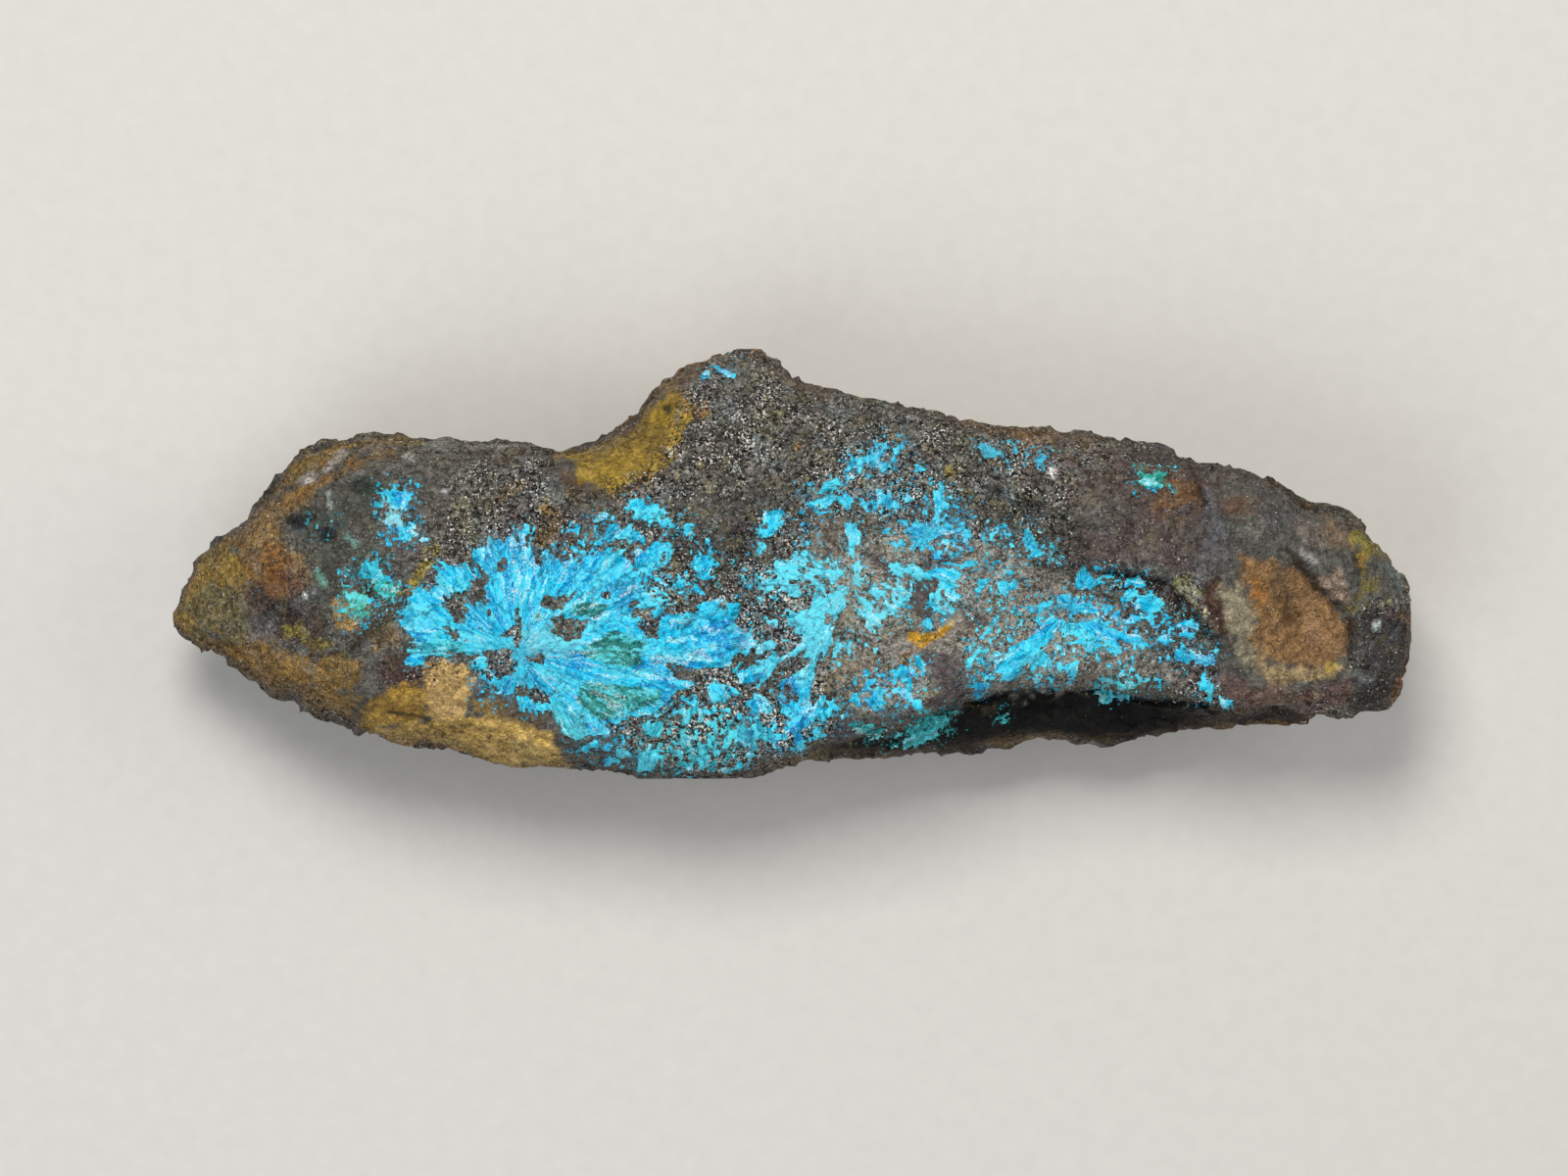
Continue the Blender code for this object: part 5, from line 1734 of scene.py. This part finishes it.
@dataclass
class RockMatrix:
    """The rock, one piece, with the fine relief that its solid is too coarse for.

    Sizes are in mm. voxel is the mesh spacing, which is halved on the display face. The underside is
    smoothed further, by passes, because broken chips would stand out of it as spikes. regain makes up
    for what smoothing takes off. Facets are the broken faces of the rock, each with its own slope, as
    width and height pairs, and as strong as facet_shares says everywhere, on druse and on the walls. A
    squeeze makes a pattern lie in beds. Walls turn into the face where the normal rises over face_turn,
    and crystals grow where it rises over druse_turn. Over relief_heights the face's furrows and ledges
    set in, and over stain_heights its colours, which are pulled in by inset at the rim. clear is how
    far the rock stays inside the box of its solid.
    """

    face: FaceMap
    voxel: float = 0.37
    smoothing: int = 3
    under_smoothing: int = 50
    face_slope: float = 0.35
    regain: float = 0.1
    lump: float = 0.14
    lump_width: float = 2.3
    facets: tuple[tuple[float, float], ...] = ((3.1, 0.36), (1.2, 0.2), (0.5, 0.1), (0.28, 0.05))
    facet_shares: tuple[float, float, float] = (0.55, 0.45, 0.5)
    bend: tuple[float, float] = (0.3, 1.1)  # how far, and how widely, the facets' borders wander
    strata: float = 0.28
    strata_width: float = 1.3
    strata_squeeze: tuple[float, float, float] = (0.35, 0.35, 1.6)
    wall_druse: float = 0.4
    face_turn: tuple[float, float] = (0.1, 0.6)
    druse_turn: tuple[float, float] = (0.3, 0.7)
    relief_heights: tuple[float, float] = (6.0, 9.0)
    clear: tuple[float, float, float] = (0.01, 0.01, 0.3)
    inset: tuple[float, float, float] = (0.99, 0.97, 1.0)
    stain_heights: tuple[float, float] = (7.0, 13.5)
    stain_cover: float = 0.8
    wall_colours: tuple[str, ...] = ("#5A4E46", "#8A6436", "#3E3733", "#7A6A52")
    wall_patch: float = 3.2
    wall_edge: tuple[float, float] = (0.05, 0.55)
    wall_cover: float = 0.85
    wall_squeeze: tuple[float, float, float] = (0.6, 0.6, 1.5)

    def build(self) -> Object:
        """Makes the rock's mesh and stores its colours at its points.

        Returns:
            The piece.
        """
        mesh = self._dense_mesh()
        place, normal = read(mesh, "co") / MM, read(mesh, "normal")
        up = soft(normal[:, 2], *self.face_turn)
        druse = self.face.sample(self.face.druse, place) * up + self.wall_druse * (1 - up)
        height = self.regain + self.lump * noise(place, self.lump_width, Seed.LUMPS, 2)
        warped = place + self.bend[0] * np.column_stack(
            [noise(place, self.bend[1], Seed.WARP + step, 2) for step in (0, 2, 4)])
        everywhere, on_druse, on_walls = self.facet_shares
        for index, (width, rise) in enumerate(self.facets):
            slope = cells(warped, width, Seed.FACETS + index)[2]
            height += rise * (everywhere + on_druse * druse + on_walls * (1 - up)) * slope
        beds = noise(place * self.strata_squeeze, self.strata_width, Seed.STRATA, 3)
        height += (1 - up) * self.strata * beds
        moved = place + normal * height[:, None]
        relief = self.face.sample(self.face.relief, place) * soft(place[:, 2], *self.relief_heights)
        moved += relief[:, None] * (normal * (1 - up[:, None]) + (0, 0, 1) * up[:, None])
        low, high = (np.array(corner) / MM for corner in ROCK_BOX)
        moved = np.clip(moved, low + (*self.clear[:2], 0.0), high - self.clear)
        mesh.vertices.foreach_set("co", (moved * MM).astype(np.float32).ravel())
        mesh.update()
        store(mesh, "tone", self._tones(moved, up))
        for name, grid in (("powder", self.face.powder), ("powder_tint", self.face.powder_tint)):
            layer = self.face.sample(grid, place)
            store(mesh, name, layer * up if layer.ndim == 1 else layer)
        store(mesh, "druse", druse)
        store(mesh, "grow", druse * soft(normal[:, 2], *self.druse_turn))
        mesh.polygons.foreach_set("use_smooth", np.ones(len(mesh.polygons), bool))
        return new_object("rock_matrix", mesh)

    def _dense_mesh(self) -> Mesh:
        """Remeshes a copy of the solid evenly, eases its underside and halves the mesh on the face.

        Returns:
            The mesh, with no attributes of its own.
        """
        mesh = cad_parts["matrix"].data.copy()
        shape = bmesh.new()
        shape.from_mesh(mesh)
        bmesh.ops.remove_doubles(shape, verts=shape.verts, dist=0.001 * MM)
        shape.to_mesh(mesh)
        shape.free()
        piece = new_object("rock_draft", mesh)
        remesh = piece.modifiers.new("even", "REMESH")
        remesh.mode, remesh.voxel_size = "VOXEL", self.voxel * MM
        smooth = piece.modifiers.new("ease", "SMOOTH")
        smooth.factor, smooth.iterations = 0.5, self.smoothing
        mesh = fixed_mesh(piece)
        extra = [layer.name for layer in mesh.attributes if not (layer.is_required or layer.is_internal)]
        for name in extra:
            mesh.attributes.remove(mesh.attributes[name])
        shape = bmesh.new()
        shape.from_mesh(mesh)
        shape.normal_update()
        under = [v for v in shape.verts if v.normal.z < 0]
        for _ in range(self.under_smoothing):
            bmesh.ops.smooth_vert(shape, verts=under, factor=0.5,
                                  use_axis_x=True, use_axis_y=True, use_axis_z=True)
        shape.normal_update()
        facing = [f for f in shape.faces if f.normal.z > self.face_slope]
        edges = {edge for f in facing for edge in f.edges}
        bmesh.ops.subdivide_edges(shape, edges=list(edges), cuts=1, use_grid_fill=True)
        bmesh.ops.triangulate(shape, faces=[f for f in shape.faces if len(f.verts) > 4])
        shape.to_mesh(mesh)
        shape.free()
        mesh.materials.clear()
        return mesh

    def _tones(self, place: Array, up: Array) -> Array:
        """Colours the rock: the face map on top, broken rock on the walls and the back.

        Args:
            place: The mesh's points, in mm.
            up: How much each of them belongs to the face, from 0 to 1.

        Returns:
            A linear colour for each point.
        """
        tones = self.face.sample(self.face.tone, place * self.inset)
        walls = np.broadcast_to(linear(self.wall_colours[0]), tones.shape).copy()
        for index, code in enumerate(self.wall_colours[1:]):
            patches = noise(place * self.wall_squeeze, self.wall_patch, Seed.WALLS + 7 * index, 3)
            weight = soft(patches, *self.wall_edge)[:, None]
            walls += self.wall_cover * weight * (linear(code) - walls)
        keep = soft(place[:, 2], *self.stain_heights) * self.stain_cover
        keep = np.maximum(keep, up)[:, None]
        return tones * keep + walls * (1 - keep)


@dataclass
class FilmSheet:
    """The lavendulan of the whole face, cut into one closed shell for each spray.

    Sizes are in mm: the film is thinnest at its rim and is let into the rock by bury. Its relief is
    full from lath_depth inside the rim on, and loose laths lie on it over lath_bed. above is the height
    that the rock is felt from, and snap how far a rim point may move, in steps of the grid.
    """

    face: FaceMap
    rock: Object
    rim: float = 0.05
    rise: float = 0.3
    thickest: float = 0.2
    thinnest: float = 0.03
    lath_relief: float = 0.07
    lath_bump: float = 1.3
    lath_depth: float = 0.25
    lath_bed: tuple[float, float] = (0.08, 0.3)
    bury: float = 0.14
    steepest: float = 0.55
    above: float = 20.0
    snap: float = 0.62
    least_slope: float = 0.25
    trims: int = 4

    def __post_init__(self) -> None:
        """Works out the height of both sides of the film over the grid."""
        face = self.face
        self.wanted = face.cover > 0
        near = self.wanted.copy()
        for axis, step in product((0, 1), (-1, 1)):
            near |= np.roll(self.wanted, step, axis)
            near |= np.roll(np.roll(self.wanted, step, axis), 1, 1 - axis)
            near |= np.roll(np.roll(self.wanted, step, axis), -1, 1 - axis)
        self.x, self.y = face.x.copy(), face.y.copy()
        self._snap(near)
        self.ground = np.full(face.x.shape, np.nan)
        tree = BVHTree.FromObject(self.rock, bpy.context.evaluated_depsgraph_get())
        down = Vector((0, 0, -1))
        for i, j in zip(*np.nonzero(near)):
            hit = tree.ray_cast(Vector((self.x[i, j] * MM, self.y[i, j] * MM, self.above * MM)), down)[0]
            if hit is not None:
                self.ground[i, j] = hit.z / MM
        turn, reach = face.radial[..., 0], face.radial[..., 1]
        fan = np.column_stack([(turn * face.laths_round).ravel(), (reach / self.lath_bump).ravel()])
        laths = noise(fan, 1.0, Seed.LATH_RELIEF, 2)
        depth = np.maximum(face.cover, 0)
        body = self.rim + np.minimum(self.rise * depth, self.thickest)
        body += self.lath_relief * laths.reshape(depth.shape) * soft(depth, 0.0, self.lath_depth)
        self.top = self.ground + np.maximum(body, self.thinnest)
        self.bottom = self.ground - self.bury

    def _snap(self, near: Array) -> None:
        """Moves grid points just outside the film onto its rim, so that the rim runs smoothly.

        Args:
            near: Which grid points are in the film or next to it.
        """
        face = self.face
        gy, gx = np.gradient(face.cover, face.STEP)
        slope = np.maximum(gx * gx + gy * gy, self.least_slope)
        outside = near & ~self.wanted
        limit = self.snap * face.STEP
        for target, part in ((self.x, gx), (self.y, gy)):
            shift = np.clip(-face.cover * part / slope, -limit, limit)
            target[outside] += shift[outside]

    def cells(self) -> tuple[Array, Array]:
        """Finds the grid squares that the film fills.

        Returns:
            Which squares are filled, and the number of the region that each belongs to.
        """
        wanted, ground = self.wanted, self.ground
        corners = [ground[:-1, :-1], ground[:-1, 1:], ground[1:, 1:], ground[1:, :-1]]
        filled = wanted[:-1, :-1] | wanted[:-1, 1:] | wanted[1:, 1:] | wanted[1:, :-1]
        spread = np.max(corners, axis=0) - np.min(corners, axis=0)
        filled &= np.nan_to_num(spread, nan=FAR) < self.steepest
        best = self.face.cover[:-1, :-1]
        owner = self.face.owner[:-1, :-1].copy()
        for rows, columns in ((slice(0, -1), slice(1, None)), (slice(1, None), slice(1, None)),
                              (slice(1, None), slice(0, -1))):
            better = self.face.cover[rows, columns] > best
            owner[better] = self.face.owner[rows, columns][better]
            best = np.maximum(best, self.face.cover[rows, columns])
        return filled, owner

    def shell_faces(self, mask: Array) -> tuple[Array, Array]:
        """Joins two layers of grid squares into one closed shell.

        Args:
            mask: The grid squares that it fills.

        Returns:
            The grid points that it uses, and the corners of its faces. A corner's number counts
            through those points, first on the upper layer and then on the lower one.
        """
        mask = mask.copy()
        for _ in range(self.trims):  # squares that meet at a corner alone share an edge of four faces
            a, b, c, d = mask[:-1, :-1], mask[:-1, 1:], mask[1:, :-1], mask[1:, 1:]
            rising, falling = a & d & ~b & ~c, b & c & ~a & ~d
            mask[1:, 1:][rising] = False
            mask[1:, :-1][falling] = False
        columns = self.x.shape[1]
        i, j = np.nonzero(mask)
        start = i * columns + j
        square = np.stack([start, start + 1, start + columns + 1, start + columns], 1)
        used, index = np.unique(square, return_inverse=True)
        top = index.reshape(-1, 4)
        count = len(used)
        edges = np.concatenate([top[:, [k, (k + 1) % 4]] for k in range(4)])
        keys = edges[:, 0] * count + edges[:, 1]
        lone = ~np.isin(keys, edges[:, 1] * count + edges[:, 0])
        a, b = edges[lone].T
        walls = np.stack([b, a, a + count, b + count], 1)
        return used, np.concatenate([top, top[:, ::-1] + count, walls])

    def shell(self, name: str, mask: Array) -> Object:
        """Builds one closed shell.

        Args:
            name: The piece's name.
            mask: The grid squares that it fills.

        Returns:
            The piece, with its tint and the run of its laths stored at its points.
        """
        used, faces = self.shell_faces(mask)
        count = len(used)
        x, y = self.x.ravel()[used], self.y.ravel()[used]
        upper = np.column_stack([x, y, self.top.ravel()[used]])
        lower = np.column_stack([x, y, self.bottom.ravel()[used]])
        mesh = bpy.data.meshes.new(name)
        mesh.vertices.add(2 * count)
        mesh.vertices.foreach_set("co", (np.concatenate([upper, lower]) * MM).astype(np.float32).ravel())
        mesh.loops.add(faces.size)
        mesh.loops.foreach_set("vertex_index", faces.astype(np.int32).ravel())
        mesh.polygons.add(len(faces))
        mesh.polygons.foreach_set("loop_start", np.arange(0, faces.size, 4, dtype=np.int32))
        mesh.polygons.foreach_set("use_smooth", np.ones(len(faces), bool))
        mesh.update(calc_edges=True)
        face = self.face
        radial = face.radial.reshape(-1, 2)[used]
        angle = radial[:, 0] * 2 * np.pi
        fan = radial * np.column_stack([face.laths_round.ravel()[used], np.ones(count)])
        flat = np.zeros(count)
        for title, values in (("tint", face.tint.reshape(-1, 3)[used]), ("fan", np.column_stack([fan, flat])),
                              ("run", np.column_stack([np.cos(angle), np.sin(angle), flat]))):
            store(mesh, title, np.concatenate([values, values]))
        depth = face.cover.ravel()[used]
        store(mesh, "thick", np.concatenate([soft(depth, *self.lath_bed), np.zeros(count)]))
        store(mesh, "shade", np.zeros(2 * count))
        return new_object(name, mesh)

    def build(self) -> list[tuple[Object, str]]:
        """Makes the shell of each spray, and one of the flecks that belong to no solid.

        Returns:
            Each piece with the name of the solid that it stands for, which is empty for the flecks.
        """
        filled, owner = self.cells()
        loose = np.zeros(filled.shape, bool)
        pieces = []
        for index, region in enumerate(REGIONS):
            mask = filled & (owner == index)
            if region.loose:
                loose |= mask
            else:
                pieces.append((self.shell("lavendulan_" + region.name, mask), "crust_" + region.name))
        pieces.append((self.shell("lavendulan_flecks", loose), ""))
        return pieces


@dataclass
class Scatter:
    """Small crystals scattered over a bed by Geometry Nodes, as one mesh.

    Sizes are in mm. sides is the number of a crystal's sides, and along says whether the crystals lie
    along the laths or stand off the rock. Each is turned aside by up to spread of its direction, and
    flatness is its thickness as a share of its width.
    """

    name: str
    per_mm2: float
    weight: str
    length: tuple[float, float]
    width: tuple[float, float]
    sides: int
    along: bool
    spread: float
    flatness: float
    seed: int

    def tree(self, material: Material) -> NodeTree:
        """Builds the tree: points on the bed, a crystal on each, made real and given its material.

        Args:
            material: What the crystals are made of.

        Returns:
            The tree, whose named inputs are the density, the seed and the least and greatest size.
        """
        tree = bpy.data.node_groups.new(self.name, "GeometryNodeTree")
        sockets, add = tree.interface, partial(add_node, tree)
        sockets.new_socket("Geometry", in_out="INPUT", socket_type="NodeSocketGeometry")
        for title, kind in (("Crystals per square metre", "NodeSocketFloat"), ("Seed", "NodeSocketInt"),
                            ("Least size", "NodeSocketVector"), ("Greatest size", "NodeSocketVector")):
            sockets.new_socket(title, in_out="INPUT", socket_type=kind)
        sockets.new_socket("Geometry", in_out="OUTPUT", socket_type="NodeSocketGeometry")
        bed = add("NodeGroupInput")
        weight = add("GeometryNodeInputNamedAttribute", {"Name": self.weight}, data_type="FLOAT")
        density = add("Math", (bed.outputs[1], weight), operation="MULTIPLY")
        points = add("GeometryNodeDistributePointsOnFaces",
                     {"Mesh": bed.outputs[0], "Density": density, "Seed": bed.outputs[2]})
        crystal = add("GeometryNodeMeshCone",
                      {"Vertices": self.sides, "Radius Top": 0.0, "Radius Bottom": 0.5, "Depth": 1.0})
        jitter = add("FunctionNodeRandomValue",
                     {0: (-self.spread,) * 3, 1: (self.spread,) * 3, "Seed": self.seed + 1},
                     data_type="FLOAT_VECTOR")
        aim = points.outputs["Normal"]
        if self.along:
            aim = add("GeometryNodeInputNamedAttribute", {"Name": "run"}, data_type="FLOAT_VECTOR")
        aim = add("VectorMath", (aim, jitter), operation="ADD")
        turn = add("FunctionNodeAlignRotationToVector", {"Vector": aim}, axis="Z")
        if self.along:
            turn = add("FunctionNodeAlignRotationToVector",
                       {"Rotation": turn, "Vector": points.outputs["Normal"]}, axis="Y", pivot_axis="Z")
        size = add("FunctionNodeRandomValue",
                   {0: bed.outputs[3], 1: bed.outputs[4], "Seed": self.seed + 2}, data_type="FLOAT_VECTOR")
        placed = add("GeometryNodeInstanceOnPoints",
                     {"Points": points, "Instance": crystal, "Rotation": turn, "Scale": size})
        lot = add("FunctionNodeRandomValue", {"Seed": self.seed + 3}, data_type="FLOAT")
        shaded = add("GeometryNodeStoreNamedAttribute", {"Geometry": placed, "Name": "shade", "Value": lot},
                     data_type="FLOAT", domain="INSTANCE")
        real = add("GeometryNodeRealizeInstances", {0: shaded})
        coated = add("GeometryNodeSetMaterial", {"Geometry": real, "Material": material})
        add("NodeGroupOutput", {0: coated})
        return tree

    def build(self, bed: Object, material: Material) -> Object:
        """Scatters the crystals.

        Args:
            bed: The surface, which is used up.
            material: What the crystals are made of.

        Returns:
            All the crystals as one plain piece.
        """
        modifier = bed.modifiers.new("scatter", "NODES")
        modifier.node_group = self.tree(material)
        low, high = ((width * MM, self.flatness * width * MM, length * MM)
                     for width, length in zip(self.width, self.length))
        values = {"Crystals per square metre": self.per_mm2 / MM ** 2, "Seed": self.seed,
                  "Least size": low, "Greatest size": high}
        for item in modifier.node_group.interface.items_tree:
            if item.in_out == "INPUT" and item.name in values:
                modifier[item.identifier] = values[item.name]
        mesh = fixed_mesh(bed)
        mesh.name = self.name
        return new_object(self.name, mesh)


@dataclass(frozen=True)
class SoftBox:
    """A square lamp that faces the object: its place and width in mm, and its power in watts."""

    name: str
    place: tuple[float, float, float]
    width: float
    power: float
    colour: str

    def hang(self) -> None:
        """Puts the lamp in the scene."""
        lamp = bpy.data.lights.new(self.name, "AREA")
        lamp.size, lamp.energy = self.width * MM, self.power
        lamp.color = linear(self.colour).tolist()
        holder = bpy.data.objects.new(self.name, lamp)
        bpy.context.scene.collection.objects.link(holder)
        holder.location = Vector(self.place) * MM
        holder.rotation_euler = (-holder.location).to_track_quat("-Z", "Y").to_euler()


@dataclass(frozen=True)
class Studio:
    """The floor, the lights and the camera, which looks straight down on the display face.

    aim is the point under the camera and sharp_height the height at which per_mm pixels of an image of
    this width make one millimetre. air is the colour of the light from all sides. clip holds metres.
    """

    aim: Point = (-0.379, -1.577)
    sharp_height: float = 11.0
    per_mm: float = 15.85
    image_width: int = 1600
    lens: float = 200.0
    sensor: float = 36.0
    clip: tuple[float, float] = (0.02, 5.0)
    floor_half: float = 700.0
    floor_height: float = -0.02
    lamps: tuple[SoftBox, ...] = (
        SoftBox("key", (-50.0, 200.0, 370.0), 170.0, 1.15, "#FFFDF8"),
        SoftBox("fill", (-150.0, -190.0, 300.0), 240.0, 0.45, "#F6F9FF"),
        SoftBox("edge", (260.0, 60.0, 200.0), 200.0, 0.22, "#FFF9F0"))
    air: str = "#F3F4F6"
    air_strength: float = 0.24

    def build(self) -> None:
        """Sets up everything that isn't part of the object."""
        scene = bpy.context.scene
        scene.view_settings.view_transform = "Standard"
        scene.view_settings.look = "None"
        self._floor()
        for lamp in self.lamps:
            lamp.hang()
        world = bpy.data.worlds.new("studio_air")
        scene.world = world
        world.use_nodes = True
        colour, strength = world.node_tree.nodes["Background"].inputs[:2]
        colour.default_value, strength.default_value = rgba(self.air), self.air_strength
        self._camera(scene)

    def _floor(self) -> None:
        """Lays a broad sheet of paper under the object."""
        mesh = bpy.data.meshes.new("floor")
        half, under = self.floor_half * MM, self.floor_height * MM
        corners = [(-half, -half, under), (half, -half, under), (half, half, under), (-half, half, under)]
        mesh.from_pydata(corners, [], [(0, 1, 2, 3)])
        floor = new_object("floor", mesh)
        mesh.materials.append(StudioFloor().make())

    def _camera(self, scene: Scene) -> None:
        """Puts the camera where the object fills the image as wanted.

        Args:
            scene: The scene whose camera it becomes.
        """
        camera = bpy.data.cameras.new("camera")
        camera.lens, camera.sensor_width = self.lens, self.sensor
        camera.clip_start, camera.clip_end = self.clip
        distance = self.lens / self.sensor * self.image_width / self.per_mm
        holder = bpy.data.objects.new("camera", camera)
        scene.collection.objects.link(holder)
        holder.location = Vector((*self.aim, self.sharp_height + distance)) * MM
        scene.camera = holder


def main() -> None:
    """Builds the studio, the rock, its films and its small crystals, in that order."""
    Studio().build()
    face = FaceMap()
    rock_finish, film_finish = DrusyRock().make(), LavendulanFilm().make()
    quartz_finish = QuartzDruse().make()
    rock = RockMatrix(face).build()
    films = FilmSheet(face, rock).build()
    bed = new_object("lath_bed", join_meshes([piece.data for piece, _ in films]))
    laths = Scatter(name="lavendulan_laths", per_mm2=30.0, weight="thick", length=(0.15, 0.42),
                    width=(0.03, 0.07), sides=4, along=True, spread=0.22, flatness=0.5, seed=17)
    lath_piece = laths.build(bed, film_finish)
    grains = Scatter(name="quartz_druse", per_mm2=12.0, weight="grow", length=(0.05, 0.16),
                     width=(0.05, 0.14), sides=5, along=False, spread=0.55, flatness=1.0, seed=23)
    grain_piece = grains.build(new_object("druse_bed", rock.data.copy()), quartz_finish)
    dress(rock, rock_finish, "matrix")
    dress(grain_piece, None)
    for piece, node in films:
        dress(piece, film_finish, node)
    dress(lath_piece, None)


if __name__ == "__main__":
    main()
